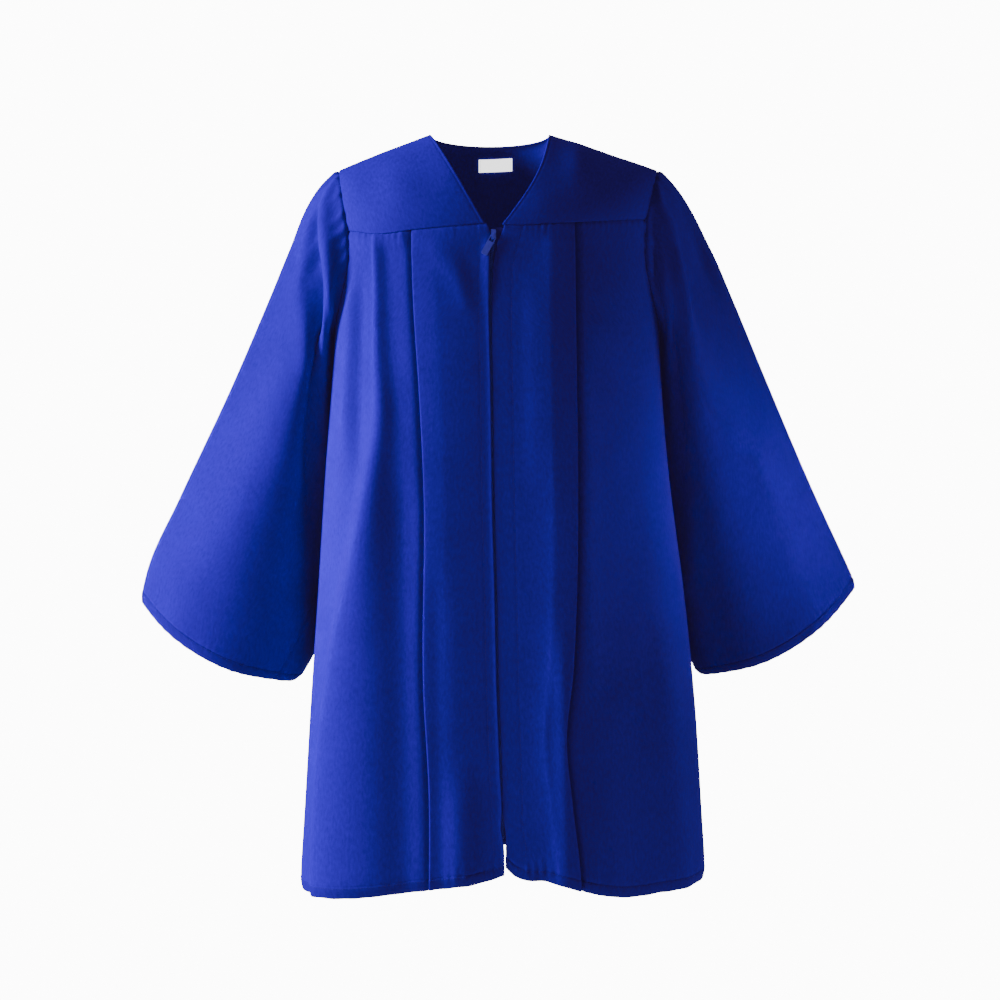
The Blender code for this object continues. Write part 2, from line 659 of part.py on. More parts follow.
def sleeve(name, side, table, folds):
    """A bell sleeve: gathered to the armhole, open at the cuff."""
    curves = {field: smooth_curve(table, "along", field) for field in SleeveRow._fields[1:]}

    def section(angle, along):
        turn = math.radians(angle)
        crest = Vector([curves[f"crest_{axis}"](along) for axis in "xyz"])
        under = Vector([curves[f"under_{axis}"](along) for axis in "xyz"])
        face = FRONT if math.sin(turn) > 0 else BACK
        reach = curves["front" if face == FRONT else "back"](along)
        across = Vector((0, -reach * fullness(face, turn), 0))
        return (crest + under) / 2 + (crest - under) / 2 * math.cos(turn) + across

    def start(angle):
        turn = math.radians(angle)
        crest_z = shoulder_z(1)
        z = (crest_z + UNDERARM_Z) / 2 + (crest_z - UNDERARM_Z) / 2 * math.cos(turn)
        face = FRONT if math.sin(turn) > 0 else BACK
        x, y = armhole_edge(face, side, z)
        return Vector((x + side * SLEEVE_START, y, z))

    def surface(angle, along):
        crested = (1 + math.cos(math.radians(angle))) / 2
        outward, upward = Vector(UNDER_HEADING).lerp(Vector(CREST_HEADING), crested)
        head = start(angle) + Vector((side * outward, 0, upward)) * SLEEVE_LENGTH * along
        return head.lerp(section(angle, along), ease(along / SLEEVE_JOIN))

    def place_at(angle, along):
        here = surface(angle, along)
        lift = gather_height((angle + 180) % 360 - 180, along) + sleeve_fold_height(folds, angle, along)
        down = surface(angle, min(along + 0.01, 1.0)) - surface(angle, max(along - 0.01, 0.0))
        across = surface(angle + 2, along) - surface(angle - 2, along)
        out = down.cross(across).normalized() * -side
        return here + out * lift

    rows = []
    hem = HEM_DEPTH / SLEEVE_LENGTH
    for along in (*SLEEVE_STEPS, 1 - hem - 0.003, 1 - hem, 1.0):
        row = []
        for angle in sleeve_angles():
            # The cuff dips before and behind, so these rows reach further down the sleeve there.
            here = place_at(angle, along)
            run = surface(angle, 1.0) - surface(angle, 0.9)
            dip = CUFF_DIP * math.sin(math.radians(angle)) ** 2 * ease((along - 0.3) / 0.7)
            row.append(tuple(here + run.normalized() * dip))
        rows.append(row)
    return cloth(name, rows, ROYAL_BLUE, closed=True, hem_rows=2)


def zip_tape(name, side):
    """One of the zip's two tapes, set back behind the edge of its front."""
    rows = []
    heights = [ZIP_TOP, SLIDER_Z, SLIDER_Z - SLIDER_HALF_HEIGHT - 0.6, SLIDER_Z - SLIDER_HALF_HEIGHT - 2.5]
    heights += spread(heights[-1], ZIP_END, 13) + [ZIP_END]
    for z in heights:
        line = FaceLine(FRONT, z)
        middle = line.along(zip_x(z))
        inner = TAPE_PART if z > SLIDER_Z - SLIDER_HALF_HEIGHT - 1 else TAPE_GAP
        places = (inner, TAPE_WIDTH / 2, TAPE_WIDTH)
        lift = YOKE_LIFT * ease(1 - (yoke_seam[FRONT](0) - z) / 30)
        rows.append([line.point(middle + side * place, lift - TAPE_SET_BACK) + (z,) for place in places])
    return cloth(name, rows, BLUE_TAPE, thickness=TAPE_THICK)


def slider_frame():
    """Where the slider sits: x across, y into the gown and z up along the front."""
    lift = YOKE_LIFT * ease(1 - (yoke_seam[FRONT](0) - SLIDER_Z) / 30)
    low, high = (-depth[FRONT](SLIDER_Z + step) for step in (-5, 5))
    up = Vector((0, high - low, 10)).normalized()
    across = Vector((1, 0, 0))
    inward = up.cross(across)
    spot = Vector((zip_x(SLIDER_Z), (low + high) / 2 - lift, SLIDER_Z)) * MM
    return Matrix.Translation(spot) @ Matrix((across, inward, up)).transposed().to_4x4()


def outline(name, loops, half_thickness):
    """A flat plate from 2D loops; every loop after the first is a hole."""
    curve = bpy.data.curves.new(name, "CURVE")
    curve.dimensions = "2D"
    curve.fill_mode = "BOTH"
    curve.extrude = half_thickness * MM
    for loop in loops:
        spline = curve.splines.new("POLY")
        spline.points.add(len(loop) - 1)
        spline.use_cyclic_u = True
        for point, (x, y) in zip(spline.points, loop):
            point.co = (x * MM, y * MM, 0, 1)
    guide = bpy.data.objects.new(name, curve)
    bpy.context.scene.collection.objects.link(guide)
    evaluated = guide.evaluated_get(bpy.context.evaluated_depsgraph_get())
    mesh = bpy.data.meshes.new_from_object(evaluated)
    bpy.data.objects.remove(guide)
    net = bmesh.new()
    net.from_mesh(mesh)
    bmesh.ops.remove_doubles(net, verts=net.verts, dist=0.000001)
    bmesh.ops.recalc_face_normals(net, faces=net.faces)
    net.to_mesh(mesh)
    net.free()
    return mesh


def rounded_box(left, right, low, high, radius, steps=3):
    """The corners of a flat rectangle, rounded, anticlockwise."""
    loop = []
    centres = ((right - radius, high - radius), (left + radius, high - radius))
    centres += ((left + radius, low + radius), (right - radius, low + radius))
    for quarter, (x, y) in enumerate(centres):
        for i in range(steps + 1):
            turn = math.pi / 2 * (quarter + i / steps)
            loop.append((x + radius * math.cos(turn), y + radius * math.sin(turn)))
    return loop


def block(name, half_x, back, face, half_z, rounding):
    """A box across the zip's line between two distances out, rounded at its four upright edges."""
    mesh = bpy.data.meshes.new(name)
    net = bmesh.new()
    size = Matrix.Diagonal((2 * half_x * MM, (face - back) * MM, 2 * half_z * MM, 1))
    bmesh.ops.create_cube(net, size=1, matrix=Matrix.Translation((0, -(face + back) / 2 * MM, 0)) @ size)
    if rounding:
        deep = 0.5 * (face - back) * MM
        upright = [e for e in net.edges if abs(e.verts[0].co.y - e.verts[1].co.y) > deep]
        bmesh.ops.bevel(net, geom=upright, offset=rounding * MM, segments=3, profile=0.5, affect="EDGES")
    net.to_mesh(mesh)
    net.free()
    return mesh


def zip_slider():
    """The slider: a crown before the tapes, a plate behind them, the neck between, and a bridge."""
    low = CROWN_FACE - 0.6
    bar = BRIDGE_BAR
    bridge = outline("slider_bridge", [
        rounded_box(low, BRIDGE_FACE, BRIDGE_LOW, BRIDGE_HIGH, 1.0),
        rounded_box(low + bar, BRIDGE_FACE - bar, BRIDGE_LOW + bar, BRIDGE_HIGH - bar, 0.5),
    ], BRIDGE_HALF)
    # The bridge is drawn out and up, so it is turned to stand on the crown's middle.
    bridge.transform(Matrix(((0, 0, -1, 0), (-1, 0, 0, 0), (0, 1, 0, 0), (0, 0, 0, 1))))
    crown = block("slider_crown", CROWN_HALF, CROWN_BACK, CROWN_FACE, SLIDER_HALF_HEIGHT, 1.2)
    neck = block("slider_neck", NECK_HALF, PLATE_FACE - 0.3, CROWN_BACK + 0.3, NECK_HALF_HEIGHT, 0)
    plate = block("slider_plate", PLATE_HALF, PLATE_BACK, PLATE_FACE, SLIDER_HALF_HEIGHT, 1.6)
    slider = place(bpy.data.objects.new("zip_slider", crown), BLUE_ENAMEL)
    slider.matrix_world = slider_frame()
    for mesh in (neck, plate, bridge):
        piece = bpy.data.objects.new(f"{mesh.name}_joined", mesh)
        piece.hide_render = True
        piece.display_type = "WIRE"
        bpy.data.collections["cutters"].objects.link(piece)
        piece.matrix_world = slider.matrix_world.copy()
        join = slider.modifiers.new(mesh.name, "BOOLEAN")
        join.operation = "UNION"
        join.object = piece
    return slider


def zip_pull_tab():
    """The pull tab: a flat plate that hangs by its end bar in the slider's bridge, origin on the bar."""
    half = TAB_WIDTH / 2
    top = TAB_BAR / 2
    plate = rounded_box(-half, half, top - TAB_LENGTH, top, 1.4)
    hole = rounded_box(-TAB_HOLE_WIDTH / 2, TAB_HOLE_WIDTH / 2, -top - TAB_HOLE_LENGTH, -top, 0.8)
    mesh = outline("pull_tab", [plate, hole], TAB_THICK / 2)
    # The plate is drawn across and up, so it is turned to face the front.
    mesh.transform(Matrix.Rotation(math.pi / 2, 4, "X"))
    tab = place(bpy.data.objects.new("zip_pull_tab", mesh), BLUE_ENAMEL)
    pivot = Matrix.Translation(Vector((0, -TAB_PIVOT_OUT, -TAB_PIVOT_DOWN)) * MM)
    tab.matrix_world = slider_frame() @ pivot @ Matrix.Rotation(math.radians(TAB_SLANT), 4, "Y")
    return tab


def main():
    """Build the gown."""
    for old in list(bpy.data.objects):
        bpy.data.objects.remove(old)
    for name in ("graduation_gown", "cutters"):
        bpy.context.scene.collection.children.link(bpy.data.collections.new(name))
    right_hem, left_hem, back_hem = (smooth_curve(rows, "x", "z") for rows in (RIGHT_HEM, LEFT_HEM, BACK_HEM))
    right, left, outer = Pleat(RIGHT_PLEAT), Pleat(LEFT_PLEAT), Roll(OUTER_ROLL, FINE_ROLL)
    back_right = [Roll(rows, PLAIN_ROLL) for rows in BACK_RIGHT_ROLLS]
    back_left = [Roll(rows, PLAIN_ROLL) for rows in BACK_LEFT_ROLLS]

    yoke_front("yoke_front_right", RIGHT)
    yoke_front("yoke_front_left", LEFT)
    back_columns = yoke_back_columns()
    cloth("yoke_back", [list(row) for row in zip(*back_columns)], ROYAL_BLUE)
    # Each side of a panel: its side, whether it meets the zip, its pleats, and its points between them.
    sides = [(RIGHT, True, (right, outer), (3, 1, 5))]
    rows = panel(FRONT, RIGHT, sides, yoke_seam[FRONT], right_hem, FRONT_RIGHT_FOLDS)
    cloth("front_right", rows, ROYAL_BLUE, hem_rows=2)
    sides = [(LEFT, True, (left,), (4, 6))]
    rows = panel(FRONT, LEFT, sides, yoke_seam[FRONT], left_hem, FRONT_LEFT_FOLDS)
    cloth("front_left", rows, ROYAL_BLUE, hem_rows=2)
    sides = [(RIGHT, False, back_right, (1, 1, 4)), (LEFT, False, back_left, (1, 1, 4))]
    rows = panel(BACK, RIGHT, sides, yoke_seam[BACK], back_hem, BACK_FOLDS)
    cloth("back", rows, ROYAL_BLUE, hem_rows=2)
    sleeve("sleeve_right", RIGHT, SLEEVE_RIGHT, FOLDS_RIGHT_SLEEVE)
    sleeve("sleeve_left", LEFT, SLEEVE_LEFT, FOLDS_LEFT_SLEEVE)
    zip_tape("zip_tape_right", RIGHT)
    zip_tape("zip_tape_left", LEFT)
    zip_slider()
    zip_pull_tab()
    size_label(back_columns)


main()
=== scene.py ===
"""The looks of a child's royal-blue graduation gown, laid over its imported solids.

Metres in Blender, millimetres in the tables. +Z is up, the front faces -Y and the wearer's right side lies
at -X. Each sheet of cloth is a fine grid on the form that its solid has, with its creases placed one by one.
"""

import functools
import logging
import math
from collections.abc import Callable, Sequence
from dataclasses import dataclass, field
from enum import Enum, IntEnum

import bmesh
import bpy
import numpy as np
from mathutils import Matrix, Vector


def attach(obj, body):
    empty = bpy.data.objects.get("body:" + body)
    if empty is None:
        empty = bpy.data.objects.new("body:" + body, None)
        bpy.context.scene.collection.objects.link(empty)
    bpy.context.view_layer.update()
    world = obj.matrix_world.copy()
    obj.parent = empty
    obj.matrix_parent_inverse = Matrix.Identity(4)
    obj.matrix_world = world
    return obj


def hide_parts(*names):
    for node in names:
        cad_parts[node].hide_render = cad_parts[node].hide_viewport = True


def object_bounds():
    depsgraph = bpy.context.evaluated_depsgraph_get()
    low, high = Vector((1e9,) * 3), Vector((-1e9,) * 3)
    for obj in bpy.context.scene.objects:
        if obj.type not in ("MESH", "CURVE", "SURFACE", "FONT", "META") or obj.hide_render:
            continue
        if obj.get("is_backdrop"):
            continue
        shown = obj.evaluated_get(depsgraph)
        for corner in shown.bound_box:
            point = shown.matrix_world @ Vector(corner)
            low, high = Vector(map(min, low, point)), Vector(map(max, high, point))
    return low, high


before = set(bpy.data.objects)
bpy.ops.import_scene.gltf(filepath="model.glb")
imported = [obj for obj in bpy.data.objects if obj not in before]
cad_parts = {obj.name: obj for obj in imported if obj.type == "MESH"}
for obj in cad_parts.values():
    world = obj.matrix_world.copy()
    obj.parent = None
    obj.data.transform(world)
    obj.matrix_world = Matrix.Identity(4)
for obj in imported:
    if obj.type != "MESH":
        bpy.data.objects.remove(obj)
CAD_BOX = [list(corner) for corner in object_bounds()]

MM = 0.001
WEAVE_MAP = "Weave"
GOWN_BODY = "gown"
HEM_ROWS = 6
ROWS_ABOVE_HEM_STITCHES = (4, 2, 1, 0.3, -0.3, -1, -2.5, -4.5, -6.5, -8.2)
log = logging.getLogger("gown")


class Side(IntEnum):
    """The wearer's two sides, by the sign of X."""

    RIGHT = -1
    LEFT = 1


class Face(IntEnum):
    """Front and back, by the sign of Y."""

    FRONT = -1
    BACK = 1


class Slot(Enum):
    """The names of the record's material slots."""

    CLOTH = "royal_blue_cloth"
    TAPE = "blue_zip_tape"
    SATIN = "white_satin"


# ---------------------------------------------------------------------------------------------------------
# Curves and creases


def ease(x: np.ndarray | float) -> np.ndarray:
    """0 below 0, 1 above 1, and a smooth rise between."""
    x = np.clip(x, 0.0, 1.0)
    return x * x * (3 - 2 * x)


def around(angle: np.ndarray) -> np.ndarray:
    """The same angle, from -180 to 180 degrees."""
    return (angle + 180) % 360 - 180


def bell(apart: np.ndarray, width: np.ndarray | float) -> np.ndarray:
    """1 in its middle, and softly down to 0 some twice this width away."""
    return np.exp(-((apart / width) ** 2))


class Curve:
    """A smooth curve through a table's values."""

    def __init__(self, keys: Sequence[float], values: Sequence[float]) -> None:
        """Keep the table in rising order.

        Args:
            keys: The places that the values stand at.
            values: One value for each key.
        """
        order = np.argsort(keys)
        self.keys = np.asarray(keys, float)[order]
        self.values = np.asarray(values, float)[order]
        self.slopes = np.gradient(self.values, self.keys)

    def _span(self, place: np.ndarray | float) -> tuple[np.ndarray, np.ndarray, np.ndarray]:
        """Find the span that each place falls in.

        Args:
            place: The places.

        Returns:
            The span's number, its length, and how far along it the place is.
        """
        place = np.clip(place, self.keys[0], self.keys[-1])
        i = np.clip(np.searchsorted(self.keys, place) - 1, 0, len(self.keys) - 2)
        step = self.keys[i + 1] - self.keys[i]
        return i, step, (place - self.keys[i]) / step

    def __call__(self, place: np.ndarray | float) -> np.ndarray:
        """The curve's value at each place.

        Args:
            place: The places. Past the table's ends they count as its ends.

        Returns:
            The values.
        """
        i, step, t = self._span(place)
        start = (1 + 2 * t) * (1 - t) ** 2 * self.values[i] + t * (1 - t) ** 2 * step * self.slopes[i]
        end = t * t * (3 - 2 * t) * self.values[i + 1] + t * t * (t - 1) * step * self.slopes[i + 1]
        return start + end

    def level(self, place: np.ndarray | float) -> np.ndarray:
        """As a call, but it never leaves the range of the two values beside it."""
        i, _, t = self._span(place)
        return self.values[i] + (self.values[i + 1] - self.values[i]) * ease(t)


class Crease:
    """A soft ridge, or a trough where its height is below zero, that runs down a piece of cloth."""

    def __init__(self, *stations: tuple[float, float, float, float, float]) -> None:
        """Read the crease's run.

        Args:
            *stations: How far down, where across, the height, and the width on the low and high side.
        """
        down, across, height, low, high = zip(*stations)
        self.first, self.last = min(down), max(down)
        self.across = Curve(down, across)
        self.height = Curve(down, height)
        self.low, self.high = Curve(down, low), Curve(down, high)

    def lift(self, down: np.ndarray | float, apart: np.ndarray) -> np.ndarray:
        """How far the crease moves the cloth out.

        Args:
            down: How far down the piece each place is.
            apart: How far across from the crease's line it is.

        Returns:
            The distance out, in millimetres.
        """
        width = np.where(apart < 0, self.low(down), self.high(down))
        inside = (down >= self.first) & (down <= self.last)
        return np.where(inside, self.height.level(down), 0.0) * bell(apart, width)


# ---------------------------------------------------------------------------------------------------------
# The gown's form


@dataclass
class GownForm:
    """The surface that the gown's pieces are cut from: its body, armholes, shoulders and seams."""

    sections: tuple = (
        (-80, 142, 142, 88, 82),
        (-180, 145, 145, 101, 94),
        (-302, 153, 153, 114, 106),
        (-415, 159.5, 167, 124, 116),
        (-505, 165.5, 176, 131, 123),
        (-617, 172, 183, 138, 130),
        (-680, 176, 187, 142, 134),
    )
    shoulder: tuple = (
        (0.0, -60.4, 47.0, -0.6),
        (0.31, -85.5, 77.0, -10.2),
        (0.55, -105.5, 100.0, -17.6),
        (0.78, -124.0, 121.7, -25.0),
        (1.0, -141.5, 143.3, -32.5),
    )
    front_seam: tuple = (
        (-128, -91), (-105, -95.5), (-71, -93), (-38, -90.5), (-6, -88.5),
        (6, -89.5), (55, -87.5), (90, -85), (130, -80.5),
    )
    back_seam: tuple = ((-128, -97), (-60, -101), (0, -102), (60, -101), (130, -97))
    zip_line: tuple = (
        (-84, -3.0, 9.4), (-89, -3.0, 7.8), (-97, -2.8, 4.2), (-105, -3.1, 3.3), (-112, -3.8, 2.1),
        (-119, -4.6, 1.5), (-130, -5.1, 1.3), (-156, -5.5, 1.2), (-243, -4.2, 1.0), (-329, -2.9, 0.9),
        (-414, -0.7, 0.9), (-499, 1.0, 0.9), (-575, 3.5, 0.9), (-622, 5.2, 1.0), (-629, 5.6, 1.9),
        (-634, 6.0, 1.6), (-642, 6.6, 0.9), (-680, 6.9, 0.9),
    )
    square_front: float = 2.5
    square_back: float = 2.3
    flatter: float = 0.6
    flatter_from: float = -180.0
    flatter_at: float = -400.0
    armhole_widest: float = -112.0
    armhole_drop: float = 64.0
    reach_front: float = 49.0
    reach_back: float = 46.0
    armhole_lean: float = 0.08
    round_front: float = 1.75
    round_back: float = 1.9
    yoke_lift: float = 1.0
    lift_fade: float = 30.0
    seam_end: float = 129.0
    neck_point: float = -88.0
    level_step: float = 3.0
    share_count: int = 1201
    section_count: int = 481

    def __post_init__(self) -> None:
        """Work out the curves and the tables of places along each level section."""
        z, right, left, front, back = zip(*self.sections)
        self.half_width = {Side.RIGHT: Curve(z, right), Side.LEFT: Curve(z, left)}
        self.depth = {Face.FRONT: Curve(z, front), Face.BACK: Curve(z, back)}
        self.roundness = {Face.FRONT: self.round_front, Face.BACK: self.round_back}
        self.reach = {Face.FRONT: self.reach_front, Face.BACK: self.reach_back}
        along, right, left, height = zip(*self.shoulder)
        self.shoulder_x = {Side.RIGHT: Curve(along, right), Side.LEFT: Curve(along, left)}
        self.shoulder_z = Curve(along, height)
        self.seam = {Face.FRONT: Curve(*zip(*self.front_seam)), Face.BACK: Curve(*zip(*self.back_seam))}
        z, x, gap = zip(*self.zip_line)
        self.zip_x, self.zip_gap = Curve(z, x), Curve(z, gap)
        self.underarm = self.armhole_widest - self.armhole_drop
        self.levels = np.arange(-720.0, -19.0, self.level_step)
        self.shares = np.linspace(0, 1, self.share_count)
        self.unit = {face: self._unit_table(face) for face in Face}

    def power(self, face: Face, z: np.ndarray | float) -> np.ndarray | float:
        """The exponent of the section's superellipse: the front grows flatter below the arms.

        Args:
            face: Front or back.
            z: The height.

        Returns:
            The exponent.
        """
        if face == Face.BACK:
            return self.square_back + 0.0 * z
        below = ease((z - self.flatter_from) / (self.flatter_at - self.flatter_from))
        return self.square_front + self.flatter * below

    def _unit_table(self, face: Face) -> tuple[np.ndarray, np.ndarray]:
        """Tabulate the sections, each stretched to a half width and a depth of 1.

        Args:
            face: Front or back.

        Returns:
            Across and deep, by level and by share of the section's length.
        """
        across, deep = [], []
        for z in self.levels:
            x, y, length, unit_x, unit_y = self.line(face, float(z))
            across.append(np.interp(self.shares * length[-1], length, unit_x))
            deep.append(np.interp(self.shares * length[-1], length, unit_y))
        return np.array(across), np.array(deep)

    @functools.lru_cache(maxsize=4096)
    def _line(self, face: Face, z: float) -> tuple[np.ndarray, ...]:
        """Work out a level section, and keep it for the next time.

        Args:
            face: Front or back.
            z: Its height.

        Returns:
            What line returns.
        """
        turn = np.linspace(-math.pi / 2, math.pi / 2, self.section_count)
        power = self.power(face, z)
        unit_x = np.sign(turn) * np.abs(np.sin(turn)) ** (2 / power)
        unit_y = np.maximum(np.cos(turn), 0) ** (2 / power)
        x = np.where(turn < 0, self.half_width[Side.RIGHT](z), self.half_width[Side.LEFT](z)) * unit_x
        y = face * self.depth[face](z) * unit_y
        length = np.concatenate([[0], np.cumsum(np.hypot(np.diff(x), np.diff(y)))])
        return x, y, length, unit_x, unit_y

    def line(self, face: Face, z: float) -> tuple[np.ndarray, ...]:
        """The level section from the right side seam to the left: x, y, length and unit x and y."""
        return self._line(face, round(z, 3))

    def __hash__(self) -> int:
        """One form is one key, so that its lines can be kept."""
        return id(self)

    def along(self, face: Face, z: float, x: float) -> float:
        """The length along the section to the place at this x."""
        xs, _, length, _, _ = self.line(face, z)
        return float(np.interp(x, xs, length))

    def to_armhole(self, face: Face, side: Side, z: float, reach: float) -> float:
        """Find the place this far before or behind the side.

        Args:
            face: Front or back.
            side: The wearer's side.
            z: The section's height.
            reach: How far before or behind the side the place stands.

        Returns:
            The length along the section to it.
        """
        x, y, length, _, _ = self.line(face, z)
        half = x < 0 if side == Side.RIGHT else x >= 0
        deep, length = np.abs(y[half]), length[half]
        if side == Side.LEFT:
            deep, length = deep[::-1], length[::-1]
        return float(np.interp(reach, deep, length))

    def point(self, face: Face, z: np.ndarray, share: np.ndarray, out: np.ndarray) -> np.ndarray:
        """Places on the body, moved out from it.

        Args:
            face: Front or back.
            z: The height of each place.
            share: How far along the section it is, from 0 at the right side seam to 1 at the left.
            out: How far out from the form it stands.

        Returns:
            The places, with x, y and z last.
        """
        z, share, out = np.broadcast_arrays(z, share, out)
        i = np.clip((z - self.levels[0]) / self.level_step, 0, len(self.levels) - 1.001)
        j = np.clip(share * (len(self.shares) - 1), 0, len(self.shares) - 1.001)
        i0, j0 = i.astype(int), j.astype(int)
        di, dj = i - i0, j - j0
        unit = []
        for table in self.unit[face]:
            low = table[i0, j0] * (1 - dj) + table[i0, j0 + 1] * dj
            high = table[i0 + 1, j0] * (1 - dj) + table[i0 + 1, j0 + 1] * dj
            unit.append(low * (1 - di) + high * di)
        unit_x, unit_y = unit
        width = np.where(unit_x < 0, self.half_width[Side.RIGHT](z), self.half_width[Side.LEFT](z))
        deep = self.depth[face](z)
        power = self.power(face, z) - 1
        out_x = np.sign(unit_x) * np.abs(unit_x) ** power / width
        out_y = face * np.abs(unit_y) ** power / deep
        size = np.hypot(out_x, out_y)
        return np.stack([
            width * unit_x + out * out_x / size,
            face * deep * unit_y + out * out_y / size,
            z + 0 * out,
        ], -1)

    def armhole_reach(self, face: Face, z: float) -> float:
        """How far before or behind the side the armhole's edge stands.

        Args:
            face: Front or back.
            z: The height.

        Returns:
            The distance, which is 0 on the side seam.
        """
        widest = self.reach[face]
        if z <= self.underarm:
            return 0.0
        if z < self.armhole_widest:
            return widest * math.sqrt(1 - ((z - self.armhole_widest) / self.armhole_drop) ** 2)
        return widest - self.armhole_lean * (z - self.armhole_widest)

    def armhole_place(self, face: Face, side: Side, z: float, out: float) -> np.ndarray:
        """Find the armhole's edge on the body's own surface.

        Args:
            face: Front or back.
            side: The wearer's side.
            z: The height.
            out: How far out from the surface the place stands.

        Returns:
            The place.
        """
        length = self.to_armhole(face, side, z, self.armhole_reach(face, z))
        total = self.line(face, z)[2][-1]
        return self.point(face, np.array(z), np.array(length / total), np.array(out))

    def seam_end_z(self, face: Face, side: Side) -> float:
        """The height at which the yoke's seam ends on the armhole."""
        return float(self.seam[face](side * self.seam_end))

    def yoke_corner(self, face: Face, side: Side) -> np.ndarray:
        """The yoke's corner, where its seam ends on the armhole."""
        return self.armhole_place(face, side, self.seam_end_z(face, side), self.yoke_lift)

    def crest(self, side: Side, share: float) -> tuple[float, float, float]:
        """A place on the shoulder's crest, from 0 at the neck to 1 at the armhole."""
        return float(self.shoulder_x[side](share)), 0.0, float(self.shoulder_z(share))

    def armhole_edge(self, face: Face, side: Side, z: float) -> np.ndarray:
        """The armhole's edge at this height, on the panel or, above its seam, on the yoke.

        Args:
            face: Front or back.
            side: The wearer's side.
            z: The height.

        Returns:
            The place.
        """
        seam_z = self.seam_end_z(face, side)
        if z <= seam_z:
            lift = self.yoke_lift * float(ease((z - seam_z) / self.lift_fade + 1))
            return self.armhole_place(face, side, z, lift)
        x, y, _ = self.yoke_corner(face, side)
        crest_x, _, crest_z = self.crest(side, 1)
        rise = min((z - seam_z) / (crest_z - seam_z), 1.0)
        power = self.roundness[face]
        return np.array([x + (crest_x - x) * rise, y * (1 - rise**power) ** (1 / power), z])


# ---------------------------------------------------------------------------------------------------------
# Sheets of cloth


